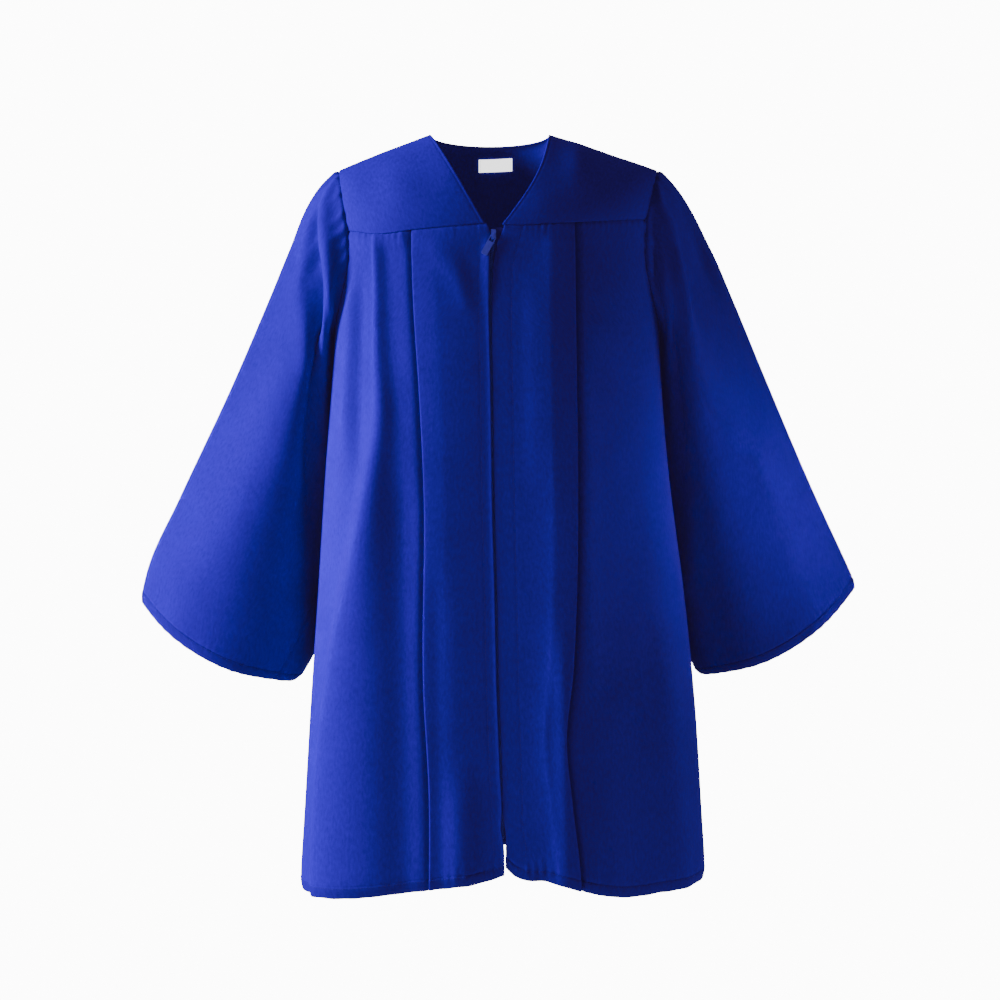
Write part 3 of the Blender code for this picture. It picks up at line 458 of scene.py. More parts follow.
@dataclass
class Sheet:
    """A sheet of cloth through a grid of places, with its wall, rounded rims and a map for its weave."""

    name: str
    grid: np.ndarray
    wall: np.ndarray | float
    closed: bool = False
    core: np.ndarray | None = None
    hem_rows: int = 0

    def __post_init__(self) -> None:
        """Turn the grid so that its faces point away from its core."""
        self.wall = np.broadcast_to(np.asarray(self.wall, float), self.grid.shape[:2])
        core = self.grid * np.array([0.0, 0.0, 1.0]) if self.core is None else self.core
        self.turned = bool(np.sum(self.normals() * (self.grid - core)) < 0)
        if self.turned:
            self.grid, self.wall = self.grid[:, ::-1], self.wall[:, ::-1]

    def _joined(self) -> np.ndarray:
        """The grid, with its first column once more at its end where the sheet is closed."""
        return np.concatenate([self.grid, self.grid[:, :1]], axis=1) if self.closed else self.grid

    def _cells(self) -> np.ndarray:
        """The direction out of each cell of the grid, as long as twice the cell's area."""
        grid = self._joined()
        return np.cross(grid[1:, 1:] - grid[:-1, :-1], grid[:-1, 1:] - grid[1:, :-1])

    def normals(self) -> np.ndarray:
        """Work out the direction out of the sheet.

        Returns:
            The direction at each place of its grid, one long.
        """
        total, cells = np.zeros_like(self._joined()), self._cells()
        for rows in (slice(0, -1), slice(1, None)):
            for columns in (slice(0, -1), slice(1, None)):
                total[rows, columns] += cells
        if self.closed:
            total[:, 0] += total[:, -1]
            total = total[:, :-1]
        return total / np.maximum(np.linalg.norm(total, axis=-1, keepdims=True), 1e-9)

    def weave(self) -> np.ndarray:
        """Measure the cloth along its rows and down its columns.

        Returns:
            Both lengths at each place, in metres.
        """
        grid = self._joined()
        across = np.linalg.norm(np.diff(grid, axis=1), axis=-1)
        down = np.linalg.norm(np.diff(grid, axis=0), axis=-1)
        u = np.concatenate([np.zeros((len(grid), 1)), np.cumsum(across, axis=1)], axis=1)
        v = np.concatenate([np.zeros((1, grid.shape[1])), np.cumsum(down, axis=0)], axis=0)
        u = u - u[:, -1:] / 2 if not self.closed else u
        return np.stack([u, -v], -1) * MM

    def cut(self) -> tuple[float, float, float]:
        """Measure the sheet as if it lay flat.

        Returns:
            Its widest width, longest length and area, in metres.
        """
        weave = self.weave()
        width = float(np.max(weave[:, -1, 0] - weave[:, 0, 0]))
        length = float(np.max(-weave[-1, :, 1]))
        area = float(np.linalg.norm(self._cells(), axis=-1).sum()) / 2 * MM * MM
        return width, length, area

    def line(self, index: tuple) -> tuple[np.ndarray, np.ndarray]:
        """The places along a row or a column, on the sheet's outer face, and the directions out of it."""
        out = self.normals()[index]
        return self.grid[index] + out * self.wall[index][:, None] / 2, out

    def _rims(self) -> list[list[tuple[int, int]]]:
        """Find the sheet's open edges.

        Returns:
            Each edge, as a loop of rows and columns.
        """
        rows, columns = self.grid.shape[:2]
        if self.closed:
            top = [(0, c) for c in range(columns)]
            return [top, [(rows - 1, c) for c in reversed(range(columns))]]
        loop = [(0, c) for c in range(columns - 1)]
        loop += [(r, columns - 1) for r in range(rows - 1)]
        loop += [(rows - 1, c) for c in range(columns - 1, 0, -1)]
        return [loop + [(r, 0) for r in range(rows - 1, 0, -1)]]

    def build(self) -> bpy.types.Object:
        """Make the sheet's mesh, with both faces, its rims and its weave map.

        Returns:
            The new object, with its place in its mesh.
        """
        rows, columns = self.grid.shape[:2]
        size = rows * columns
        half = self.normals() * self.wall[..., None] / 2
        places = [(self.grid + half).reshape(-1, 3), (self.grid - half).reshape(-1, 3)]
        weave = self.weave()
        spans = columns if self.closed else columns - 1
        r, c = (a.ravel() for a in np.meshgrid(np.arange(rows - 1), np.arange(spans), indexing="ij"))
        corners = ((r, c), (r + 1, c), (r + 1, c + 1), (r, c + 1))
        index = np.stack([a * columns + b % columns for a, b in corners], -1)
        maps = np.stack([weave[a, b] for a, b in corners], -2)
        faces, map_places = [index, index[:, ::-1] + size], [maps, maps[:, ::-1]]
        # painted shade: the hem rows and their rims are marked for the darker hem finish
        hem_shade_faces = [r >= rows - 1 - self.hem_rows] * 2
        start = 2 * size
        for rim in self._rims():
            row, column = (np.array(a) for a in zip(*rim))
            inner_row, inner_column = np.clip(row, 1, rows - 2), column
            if not self.closed:
                inner_column = np.clip(column, 1, columns - 2)
            away = self.grid[row, column] - self.grid[inner_row, inner_column]
            away /= np.maximum(np.linalg.norm(away, axis=-1, keepdims=True), 1e-9)
            wall = np.linalg.norm(half[row, column], axis=-1, keepdims=True)
            places.append(self.grid[row, column] + away * wall)
            count = len(rim)
            here = np.arange(count)
            then = (here + 1) % count
            edge = row * columns + column
            middle = start + here
            for upper, lower in ((edge, middle), (middle, edge + size)):
                faces.append(np.stack([upper[here], upper[then], lower[then], lower[here]], -1))
                at = weave[row, column]
                map_places.append(np.stack([at[here], at[then], at[then], at[here]], -2))
                hem_shade_faces.append(row >= rows - self.hem_rows)
            start += count
        piece = solid(self.name, np.concatenate(places), np.concatenate(faces), np.concatenate(map_places))
        piece.data.polygons.foreach_set("material_index", np.concatenate(hem_shade_faces).astype(np.int32))
        return piece


def solid(name: str, places: np.ndarray, faces: np.ndarray, maps: np.ndarray | None) -> bpy.types.Object:
    """Make a smooth mesh object from places in millimetres.

    Args:
        name: The piece's name.
        places: Its corners.
        faces: Four corners for each face.
        maps: The place of each face's corners on the weave map, in metres, if it has one.

    Returns:
        The new object, in the scene.
    """
    mesh = bpy.data.meshes.new(name)
    mesh.from_pydata((places * MM).tolist(), [], faces.tolist())
    mesh.shade_smooth()
    if maps is not None:
        layer = mesh.uv_layers.new(name=WEAVE_MAP)
        layer.uv.foreach_set("vector", maps.reshape(-1).astype(np.float32))
    piece = bpy.data.objects.new(name, mesh)
    bpy.context.scene.collection.objects.link(piece)
    return piece


def widen(places: Sequence[float], margin: float) -> list[float]:
    """Add a place just inside each end, to keep the rims crisp.

    Args:
        places: Places in rising or falling order.
        margin: How far inside the new ones stand.

    Returns:
        All the places.
    """
    places = list(places)
    sign = 1 if places[-1] > places[0] else -1
    return [places[0], places[0] + sign * margin, *places[1:-1], places[-1] - sign * margin, places[-1]]


def uneven(place: np.ndarray, pitch: float, seed: float) -> np.ndarray:
    """A wave from 0 to 1 whose crests stand at uneven steps.

    Args:
        place: The places.
        pitch: About how far apart the crests are.
        seed: What sets this wave apart from others.

    Returns:
        The wave's height at each place.
    """
    drift = 0.8 * np.sin(place / pitch * 0.71 + seed) + 0.5 * np.sin(place / pitch * 1.63 + 2.1 * seed)
    size = 0.72 + 0.28 * np.sin(place / pitch * 0.93 + 3.3 * seed)
    return (0.5 + 0.5 * np.sin(place / pitch * 2 * math.pi + drift)) * size


# ---------------------------------------------------------------------------------------------------------
# Finishes


class Value:
    """A socket of a material, with the sums that are written on it."""

    def __init__(self, shader: "Shader", socket: bpy.types.NodeSocket) -> None:
        """Keep the socket and the shader that it belongs to."""
        self.shader = shader
        self.socket = socket

    def _math(self, operation: str, first: "Value | float", second: "Value | float") -> "Value":
        """One Math node on two values."""
        return self.shader.node("ShaderNodeMath", {"operation": operation}, {0: first, 1: second})

    def __add__(self, other: "Value | float") -> "Value":
        """The sum."""
        return self._math("ADD", self, other)

    __radd__ = __add__

    def __mul__(self, other: "Value | float") -> "Value":
        """The product."""
        return self._math("MULTIPLY", self, other)

    __rmul__ = __mul__

    def __sub__(self, other: "Value | float") -> "Value":
        """The difference."""
        return self._math("SUBTRACT", self, other)

    def __rsub__(self, other: "Value | float") -> "Value":
        """The difference, the other way round."""
        return self._math("SUBTRACT", other, self)

    def sine(self) -> "Value":
        """The sine of the value."""
        return self._math("SINE", self, 0.0)


class Shader:
    """A material under construction: its node tree and its surface."""

    def __init__(self, name: str) -> None:
        """Start a material with a plain surface.

        Args:
            name: The material's name.
        """
        self.material = bpy.data.materials.new(name)
        self.material.use_nodes = True
        self.tree = self.material.node_tree
        self.surface = self.tree.nodes["Principled BSDF"]

    def node(self, kind: str, settings: dict, inputs: dict, output: int | str = 0) -> Value:
        """Add a node.

        Args:
            kind: The node's type.
            settings: Its own settings, which are set first.
            inputs: Values or links for its sockets, by name or number.
            output: The socket that carries the result.

        Returns:
            The result, as a value.
        """
        made = self.tree.nodes.new(kind)
        for key, setting in settings.items():
            setattr(made, key, setting)
        for key, value in inputs.items():
            if isinstance(value, Value):
                self.tree.links.new(value.socket, made.inputs[key])
            else:
                made.inputs[key].default_value = value
        return Value(self, made.outputs[output])

    def fix(self, **sockets: float | tuple) -> None:
        """Set the surface's own sockets to values that are the same all over."""
        for name, value in sockets.items():
            self.surface.inputs[name.replace("_", " ").title().replace("Ior", "IOR")].default_value = value

    def feed(self, socket: str, value: Value) -> None:
        """Link a value that changes over the surface to one of the surface's sockets."""
        self.tree.links.new(value.socket, self.surface.inputs[socket])

    def own_place(self) -> Value:
        """The piece's own place, in metres."""
        return self.node("ShaderNodeTexCoord", {}, {}, "Object")

    def noise(self, place: Value, scale: float, detail: float, roughness: float = 0.5) -> Value:
        """Soft grain at this many features a unit."""
        inputs = {"Vector": place, "Scale": scale, "Detail": detail, "Roughness": roughness}
        return self.node("ShaderNodeTexNoise", {}, inputs)

    def mix(self, factor: Value, first: tuple, second: tuple) -> Value:
        """One colour where the factor is 0, the other where it is 1."""
        settings = {"data_type": "RGBA", "clamp_factor": True}
        return self.node("ShaderNodeMix", settings, {0: factor, 6: (*first, 1), 7: (*second, 1)}, 2)

    def bump(self, height: Value, strength: float, distance: float) -> Value:
        """A normal from a height."""
        inputs = {"Height": height, "Strength": strength, "Distance": distance}
        return self.node("ShaderNodeBump", {}, inputs)


@dataclass(frozen=True)
class WovenFinish:
    """A matte woven cloth: fine crossed threads under a crepe grain."""

    colour: tuple[float, float, float]
    shade: tuple[float, float, float]
    pitch: float = 0.62
    grain: float = 0.9
    relief: float = 0.16
    roughness: float = 0.78
    sheen: float = 0.04
    gloss: float = 0.02
    # painted light: a faint violet-blue emission that lifts the cloth's shade, though the cloth is no lamp
    painted_light: float = 0.012
    painted_light_colour: tuple[float, float, float] = (0.58, 0.34, 1.0)

    def make(self, name: str) -> bpy.types.Material:
        """Build the cloth's material on a piece's weave map.

        Args:
            name: The material's name.

        Returns:
            The material.
        """
        shader = Shader(name)
        place = shader.node("ShaderNodeUVMap", {"uv_map": WEAVE_MAP}, {})
        in_mm = shader.node("ShaderNodeVectorMath", {"operation": "SCALE"}, {0: place, "Scale": 1000.0})
        u = shader.node("ShaderNodeSeparateXYZ", {}, {0: in_mm}, "X")
        v = shader.node("ShaderNodeSeparateXYZ", {}, {0: in_mm}, "Y")
        turn = 2 * math.pi / self.pitch
        threads = (u * turn).sine() * (v * turn).sine()
        crepe = shader.noise(in_mm, self.grain, 3.0, 0.6)
        drawn = shader.node("ShaderNodeMapping", {}, {"Vector": in_mm, "Scale": (1.0, 0.42, 1.0)})
        fleck = shader.noise(drawn, self.grain * 0.5, 2.0, 0.6)
        slub = shader.noise(in_mm, 0.035, 2.0)
        height = threads * 0.18 + crepe + fleck
        shader.feed("Normal", shader.bump(height, 0.55, self.relief * MM))
        tone = (crepe - 0.5) * 0.9 + (fleck - 0.5) * 1.8 + (slub - 0.5) * 0.5 + 0.5 + threads * 0.05
        shader.feed("Base Color", shader.mix(tone, self.shade, self.colour))
        shader.feed("Roughness", (crepe - 0.5) * 0.12 + self.roughness)
        shader.fix(metallic=0.0, sheen_weight=self.sheen, sheen_roughness=0.45, ior=1.45)
        shader.fix(sheen_tint=(0.10, 0.04, 1.0, 1.0), specular_ior_level=self.gloss)
        # painted light: the emission adds the same faint glow all over the cloth, seen most in its shade
        shader.fix(emission_color=(*self.painted_light_colour, 1.0), emission_strength=self.painted_light)
        return shader.material


@dataclass(frozen=True)
class EnamelFinish:
    """Enamelled metal: satin, with fine dimples and small knocks."""

    colour: tuple[float, float, float]
    worn: tuple[float, float, float]
    roughness: float = 0.34

    def make(self, name: str) -> bpy.types.Material:
        """Build the enamel's material on a piece's own place.

        Args:
            name: The material's name.

        Returns:
            The material.
        """
        shader = Shader(name)
        place = shader.own_place()
        fine = shader.noise(place, 2600.0, 3.0)
        broad = shader.noise(place, 500.0, 2.0)
        shader.feed("Base Color", shader.mix((broad - 0.35) * 1.6, self.colour, self.worn))
        shader.feed("Roughness", (fine - 0.5) * 0.2 + self.roughness)
        shader.feed("Normal", shader.bump(fine, 0.25, 0.00004))
        shader.fix(metallic=0.25, coat_weight=0.3, coat_roughness=0.25, specular_ior_level=0.5)
        return shader.material


@dataclass(frozen=True)
class PlainFinish:
    """A pale painted floor."""

    colour: tuple[float, float, float] = (0.86, 0.86, 0.86)

    def make(self, name: str) -> bpy.types.Material:
        """Build the floor's material.

        Args:
            name: The material's name.

        Returns:
            The material.
        """
        shader = Shader(name)
        place = shader.own_place()
        broad = shader.noise(place, 3.0, 2.0)
        dim = tuple(0.985 * part for part in self.colour)
        shader.feed("Base Color", shader.mix(broad, dim, self.colour))
        shader.fix(roughness=0.9, specular_ior_level=0.1)
        return shader.material


@dataclass(frozen=True)
class ThreadFinish:
    """Spun sewing thread, with a little fuzz and lighter and darker stretches."""

    colour: tuple[float, float, float]
    shade: tuple[float, float, float]

    def make(self, name: str) -> bpy.types.Material:
        """Build the thread's material on a piece's own place.

        Args:
            name: The material's name.

        Returns:
            The material.
        """
        shader = Shader(name)
        place = shader.own_place()
        fuzz = shader.noise(place, 9000.0, 2.0)
        shader.feed("Base Color", shader.mix(shader.noise(place, 350.0, 2.0), self.shade, self.colour))
        shader.feed("Normal", shader.bump(fuzz, 0.4, 0.00005))
        shader.fix(roughness=0.6, specular_ior_level=0.2)
        return shader.material


ROYAL_BLUE = WovenFinish((0.0185, 0.0014, 0.350), (0.0118, 0.0009, 0.218))
# painted shade: a darker copy of the royal blue for the hem and cuff bands, standing in for the shade of
# their curl
HEM_SHADE_BLUE = WovenFinish((0.0145, 0.0011, 0.272), (0.0092, 0.0007, 0.170))
ZIP_BLUE = WovenFinish((0.0160, 0.0030, 0.190), (0.0120, 0.0022, 0.140), pitch=0.9, grain=1.6)
# painted light: the label's strong emission makes it read white inside the shaded neck
WHITE_SATIN = WovenFinish((0.88, 0.88, 0.88), (0.80, 0.80, 0.81), pitch=0.35, relief=0.05, roughness=0.5,
                          sheen=0.0, painted_light=2.2, painted_light_colour=(1.0, 1.0, 1.0))
BLUE_ENAMEL = EnamelFinish((0.050, 0.038, 0.560), (0.070, 0.055, 0.700))
BLUE_THREAD = ThreadFinish((0.0200, 0.0030, 0.330), (0.0130, 0.0020, 0.220))
WHITE_THREAD = ThreadFinish((0.85, 0.85, 0.85), (0.70, 0.70, 0.72))


def dress(piece: bpy.types.Object, finish: WovenFinish | EnamelFinish | ThreadFinish, slot: Slot) -> None:
    """Give a new piece its finish and have it ride with the gown.

    Args:
        piece: The piece.
        finish: What it is made of.
        slot: Not used.
    """
    piece.data.materials.clear()
    piece.data.materials.append(finish.make(f"{piece.name}_finish"))
    slot.value
    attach(piece, GOWN_BODY)


def lay(sheet: Sheet, finish: WovenFinish, slot: Slot, node: str) -> None:
    """Build a sheet of cloth, dress it and log its cut.

    Args:
        sheet: The sheet.
        finish: What it is woven from.
        slot: The record's slot.
        node: The solid that it stands for.
    """
    piece = sheet.build()
    hem_shade_index = np.zeros(len(piece.data.polygons), np.int32)
    piece.data.polygons.foreach_get("material_index", hem_shade_index)
    dress(piece, finish, slot)
    # painted shade: the hem rows take the darker copy of the cloth's finish
    if sheet.hem_rows:
        piece.data.materials.append(HEM_SHADE_BLUE.make(f"{piece.name}_hem_finish"))
        piece.data.polygons.foreach_set("material_index", hem_shade_index)
    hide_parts(node)
    width, length, area = sheet.cut()
    log.info("%s: cut %.3f x %.3f m, %.4f m2, %d faces", piece.name, width, length, area, len(hem_shade_index))
    round(width, 4)
    round(length, 4)
    min(area, width * length)


# ---------------------------------------------------------------------------------------------------------
# Repeated pieces


def pick(piece: bpy.types.Object, test: Callable[[Vector], bool]) -> None:
    """Select some faces of a piece in edit mode, and nothing else.

    Args:
        piece: The piece.
        test: Whether a face with this direction is selected.
    """
    bpy.ops.mesh.select_all(action="DESELECT")
    net = bmesh.from_edit_mesh(piece.data)
    for face in net.faces:
        face.select_set(test(face.normal))
    bmesh.update_edit_mesh(piece.data)


def frames_along(places: np.ndarray, out: np.ndarray, pitch: float) -> list[Matrix]:
    """Frames at even steps along a line on the cloth.

    Args:
        places: The line's places, in millimetres.
        out: The direction out of the cloth at each of them.
        pitch: The step between two frames.

    Returns:
        A frame for each step, in metres, with X along the line and Z out of the cloth.
    """
    look_ahead = 0.3
    run = np.concatenate([[0.0], np.cumsum(np.linalg.norm(np.diff(places, axis=0), axis=-1))])
    steps = np.arange(pitch / 2, run[-1] - look_ahead, pitch)
    at, ahead, up = (
        np.stack([np.interp(where, run, values[:, i]) for i in range(3)], -1)
        for where, values in ((steps, places), (steps + look_ahead, places), (steps, out))
    )
    frames = []
    for here, there, normal in zip(at, ahead, up):
        along = Vector(there - here).normalized()
        side = Vector(normal).cross(along).normalized()
        turn = Matrix((along, side, along.cross(side))).transposed().to_4x4()
        frames.append(Matrix.Translation(Vector(here) * MM) @ turn)
    return frames


def repeat(model: bpy.types.Object, frames: list[Matrix], name: str) -> bpy.types.Object:
    """Set a copy of the model in each frame and join them.

    Args:
        model: The finished model, at the origin, which is taken away.
        frames: Where the copies stand.
        name: The joined piece's name.

    Returns:
        The joined piece, with its place in its mesh.
    """
    made = []
    for frame_here in frames:
        copy = model.copy()
        copy.data = model.data.copy()
        copy.matrix_world = frame_here
        bpy.context.scene.collection.objects.link(copy)
        made.append(copy)
    bpy.data.objects.remove(model)
    bpy.context.view_layer.update()
    bpy.ops.object.select_all(action="DESELECT")
    for copy in made:
        copy.select_set(True)
    bpy.context.view_layer.objects.active = made[0]
    bpy.ops.object.join()
    bpy.ops.object.transform_apply(location=True, rotation=True, scale=True)
    made[0].name = name
    return made[0]


@dataclass(frozen=True)
class Stitch:
    """A stitch of sewing thread."""

    pitch: float = 2.6
    length: float = 2.1
    thick: float = 0.26

    def model(self) -> bpy.types.Object:
        """Model one stitch along X: round, full in its middle and drawn in at its ends.

        Returns:
            The stitch.
        """
        bpy.ops.object.select_all(action="DESELECT")
        bpy.ops.mesh.primitive_cylinder_add(
            vertices=6, radius=self.thick / 2 * MM, depth=self.length * MM, rotation=(0, math.pi / 2, 0)
        )
        stitch = bpy.context.object
        bpy.ops.object.transform_apply(location=False, rotation=True, scale=False)
        bpy.ops.object.mode_set(mode="EDIT")
        pick(stitch, lambda normal: abs(normal.x) > 0.9)
        bpy.ops.transform.resize(value=(1.0, 0.45, 0.45))
        bpy.ops.mesh.select_all(action="SELECT")
        bpy.ops.mesh.bisect(plane_co=(0, 0, 0), plane_no=(1, 0, 0))
        bpy.ops.transform.resize(value=(1.0, 1.35, 1.5))
        bpy.ops.object.mode_set(mode="OBJECT")
        bpy.ops.object.shade_smooth()
        return stitch

    def sew(self, name: str, lines: Sequence[tuple[np.ndarray, np.ndarray]]) -> bpy.types.Object:
        """Sew along lines on the cloth.

        Args:
            name: The seam's name.
            lines: Each line's places and the directions out of the cloth there.

        Returns:
            All the stitches, as one piece.
        """
        frames = []
        for places, out in lines:
            frames += frames_along(places, out, self.pitch)
        return repeat(self.model(), frames, name)


# ---------------------------------------------------------------------------------------------------------
# Panels


@dataclass(frozen=True)
class Turning:
    """The turned edge of a hem or a cuff: thicker, curled in, dipped at its stitches and puckered."""

    cloth: float = 0.7
    doubled: float = 1.3
    depth: float = 9.0
    curl: float = 2.4

    def wall(self, above: np.ndarray) -> np.ndarray:
        """How thick the cloth is, this far above its edge."""
        return np.where(above <= self.depth + 0.05, self.doubled, self.cloth)

    def shape(self, above: np.ndarray, wave: np.ndarray) -> np.ndarray:
        """How far the edge moves out.

        Args:
            above: How far above the edge each place is.
            wave: The puckers' wave along the edge, from 0 to 1.

        Returns:
            The distance out.
        """
        curl = -self.curl * np.clip(1 - above / self.depth, 0, 1) ** 1.4
        dip = -0.55 * bell(above - self.depth, 0.9)
        return curl + dip + 0.8 * (wave - 0.5) * bell(above - self.depth, 7)


@dataclass
class KnifePleat:
    """A pressed pleat: its top layer folds back under itself, tucks in and turns out again."""

    rows: tuple
    turn: float = 0.66
    rise: float = 1.0
    dip: float = 2.2
    beside: tuple = ((0.9, 0.75), (1.7, 1.0), (2.6, 0.85), (4.0, 0.35), (6.5, 0.06))

    def __post_init__(self) -> None:
        """Read the pleat's run."""
        z, x, tuck = zip(*self.rows)
        self.x, self.tuck = Curve(z, x), Curve(z, tuck)

    def points(self, edge: float, tuck: float) -> list[tuple[float, float]]:
        """The pleat's profile, as distances from the middle of the gown and heights.

        Args:
            edge: The distance of its folded edge.
            tuck: How deep it tucks.

        Returns:
            The profile's points, from the zip outwards.
        """
        r = self.turn
        inner = edge - tuck
        top = [(inner - 7 + (tuck + 7) * i / 6, 4 * r) for i in range(6)] + [(edge - 0.6, 4 * r)]
        turns = np.radians((75, 40, 0, -40, -75))
        fold = [(edge + r * math.cos(a), 3 * r + r * math.sin(a)) for a in turns]
        under = [(edge - 0.6 - (tuck - 0.6) * i / 3, 2 * r) for i in range(4)]
        back = [(inner - r * math.cos(a), r + r * math.sin(a)) for a in np.radians((60, 0, -60))]
        base = [(inner + tuck * i / 3, 0.0) for i in range(4)]
        beyond = [(edge + step, -self.dip * depth) for step, depth in self.beside]
        return top + fold + under + back + base + beyond


@dataclass
class Half:
    """One side of a panel, from the middle of the gown to the armhole and the side seam."""

    side: Side
    pleat: KnifePleat | None
    creases: tuple[Crease, ...]
    inner_count: int
    outer_count: int


@dataclass
class Panel:
    """A front or the back: it hangs from the yoke's seam to a turned hem."""

    name: str
    form: GownForm
    face: Face
    halves: tuple[Half, ...]
    hem: tuple
    seed: float
    at_zip: bool
    turning: Turning = Turning()
    under_yoke: float = 3.0
    facing: float = 9.0
    placket: float = 0.0
    stitch_dip: float = 0.08
    side_groove: float = 0.9
    seam_sink: float = 1.7
    gather_pitch: float = 5.6
    gather_height: float = 1.1
    pucker_pitch: float = 7.5
    sway_pitch: float = 19.0
    sway: float = 0.5
    pressed_fade: float = 22.0
    crease_fade: float = 18.0
    parted: float = 0.35
    edge_fade: float = 26.0
    zip_fade: float = 18.0
    stack_fade: float = 9.5
    parted_from: float = -108.0
    placket_from: float = -104.0
    placket_thin: float = -190.0
    hem_level: float = -660.0

    def _heights(self, top: float, low: float) -> list[float]:
        """The nominal heights of the panel's rows, close together at its seam and its hem.

        Args:
            top: The seam's height.
            low: The hem's height.

        Returns:
            The heights, from the top down.
        """
        form = self.form
        near = [top + self.under_yoke] + [top - d for d in (-1.0, 0, 0.8, 1.8, 3.2, 5, 7.5)]
        arm = (form.armhole_widest - form.armhole_drop * np.sin(np.radians(range(0, 91, 6)))).tolist()
        upper = np.arange(top - 11, arm[0] + 1.5, -3.5).tolist()
        stitches = low + self.turning.depth
        lower = np.linspace(form.underarm - 3, stitches + 7, 106).tolist()
        last = [stitches + d for d in ROWS_ABOVE_HEM_STITCHES]
        return near + upper + arm + lower + last + [low]

    def _pleated(self, half: Half, z: float, middle: float, inner: list[float]) -> list[tuple[float, ...]]:
        """The columns of one row that climb to the pressed pleat, and the pleat's own.

        Args:
            half: The half that has the pleat.
            z: The row's height.
            middle: The length along the section to the gown's middle.
            inner: The distances of the columns beside the zip.

        Returns:
            Each column's distance from the middle, height and share of the stack of layers.
        """
        pleat, gap = half.pleat, inner[0]
        edge = half.side * (self.form.along(self.face, z, float(pleat.x(z))) - middle)
        points = pleat.points(edge, float(pleat.tuck(z)))
        start, (end, top) = inner[-1], points[0]
        steps = range(1, half.inner_count + 1)
        inner = inner + [start + (end - start) * i / (half.inner_count + 1) for i in steps]
        rise = [top * ((place - gap) / (end - gap)) ** pleat.rise for place in inner]
        fold = edge + pleat.turn
        stack = [top * float(ease(1 - (place - fold) / self.stack_fade)) for place, _ in points]
        return list(zip(inner, rise, rise)) + [(*point, layers) for point, layers in zip(points, stack)]

    def _half_row(self, half: Half, z: float, middle: float) -> np.ndarray:
        """Lay out one row of a half.

        Args:
            half: The half.
            z: The row's height.
            middle: The length along the section to the gown's middle.

        Returns:
            Each column's distance from the middle, and the heights of the pleat, of its stack of layers
            and of the creases there.
        """
        form, side, facing = self.form, half.side, self.facing
        edge = side * (form.to_armhole(self.face, side, z, form.armhole_reach(self.face, z)) - middle)
        gap = float(form.zip_gap(z) + self.parted * ease((self.parted_from - z) / 10)) if self.at_zip else 0.0
        inner = [gap]
        if self.at_zip:
            inner += [gap + d for d in (0.5, 1.4, 0.4 * facing, 0.7 * facing, facing - 1.6, facing - 0.8)]
            inner += [gap + facing + d for d in (-0.4, 0.0, 0.8)]
        row = [(place, 0.0, 0.0) for place in inner]
        if half.pleat:
            row = self._pleated(half, z, middle, inner)
        start, last = row[-1][0], edge - 3.6
        outer = [start + (last - start) * i / half.outer_count for i in range(1, half.outer_count + 1)]
        outer += [edge - d for d in (2.4, 1.5, 0.7, 0.0)]
        row += [(place, 0.0, 0.0) for place in outer]
        distance, height, stack = (np.array(a) for a in zip(*row))
        fade = ease((edge - distance) / self.edge_fade)
        if self.at_zip:
            fade = fade * ease((distance - gap - facing) / self.zip_fade)
        lift = np.zeros_like(distance)
        for crease in half.creases:
            crest = side * (form.along(self.face, z, float(crease.across(z))) - middle)
            lift += crease.lift(z, (distance - crest) * side)
        groove = -self.side_groove * bell(edge - distance, 1.5)
        if z > form.underarm + 2:
            groove *= 0.3
        if self.at_zip:
            groove -= self.stitch_dip * bell(distance - gap - facing + 0.4, 0.7)
            full = 0.3 + 0.7 * float(ease((z - self.placket_thin) / 70))
            rolled = self.placket * full * float(ease((self.placket_from - z) / 12))
            groove += rolled * bell(distance - gap, 0.6 * facing * full)
        return np.stack([distance, height, stack, lift * fade + groove], -1)

    def grid(self) -> tuple[np.ndarray, np.ndarray]:
        """Lay out the panel between its seam and its hem.

        Returns:
            Its places, and how far above its hem's edge each one is.
        """
        form = self.form
        side = self.halves[0].side
        hem = Curve(*zip(*self.hem))
        top = form.seam_end_z(self.face, side)
        low = float(hem(side * float(form.half_width[side](self.hem_level))))
        heights = self._heights(top, low)
        rows = []
        for z in heights:
            line = form.line(self.face, z)
            middle = float(np.interp(form.zip_x(z) if self.at_zip else 0.0, line[0], line[2]))
            parts = []
            for half in self.halves:
                part = self._half_row(half, z, middle)
                part[:, 0] = (middle + half.side * part[:, 0]) / line[2][-1]
                parts.append(part[:0:-1] if half.side == Side.RIGHT and len(self.halves) > 1 else part)
            rows.append(np.concatenate(parts))
        share, pleat, stack, crease = np.moveaxis(np.array(rows), -1, 0)
        z = np.array(heights)[:, None]
        x = form.point(self.face, z, share, 0.0)[..., 0]
        level = (top - z) / (top - low)
        seam_z, hem_z = form.seam[self.face](x), hem(x)
        here = z + (seam_z - top) * (1 - level) + (hem_z - low) * level
        below, above = seam_z - here, here - hem_z
        pressed = 1 - ease(below / self.pressed_fade)
        out = (pleat - stack * pressed) * (1 - 0.5 * pressed)
        out += crease * (1 - 0.7 * (1 - ease(below / self.crease_fade)))
        out += form.yoke_lift * ease(1 - below / form.lift_fade)
        out += np.where(below > 0, -self.seam_sink * bell(below, 2.4), -self.seam_sink)
        gathers = uneven(x, self.gather_pitch, self.seed) * np.exp(-np.maximum(below - 1.5, 0) / 5)
        out += self.gather_height * gathers * (below > 0) * ease(below / 2.5)
        out += self.turning.shape(above, uneven(x, self.pucker_pitch, self.seed + 1))
        sway = self.sway * (uneven(x, self.sway_pitch, self.seed + 4) - 0.5)
        here = here + sway * ease(1 - above / 20)
        return form.point(self.face, here, share, out), above

    def sheet(self) -> Sheet:
        """The panel as a sheet of cloth."""
        grid, above = self.grid()
        return Sheet(self.name, grid, self.turning.wall(above), hem_rows=HEM_ROWS)


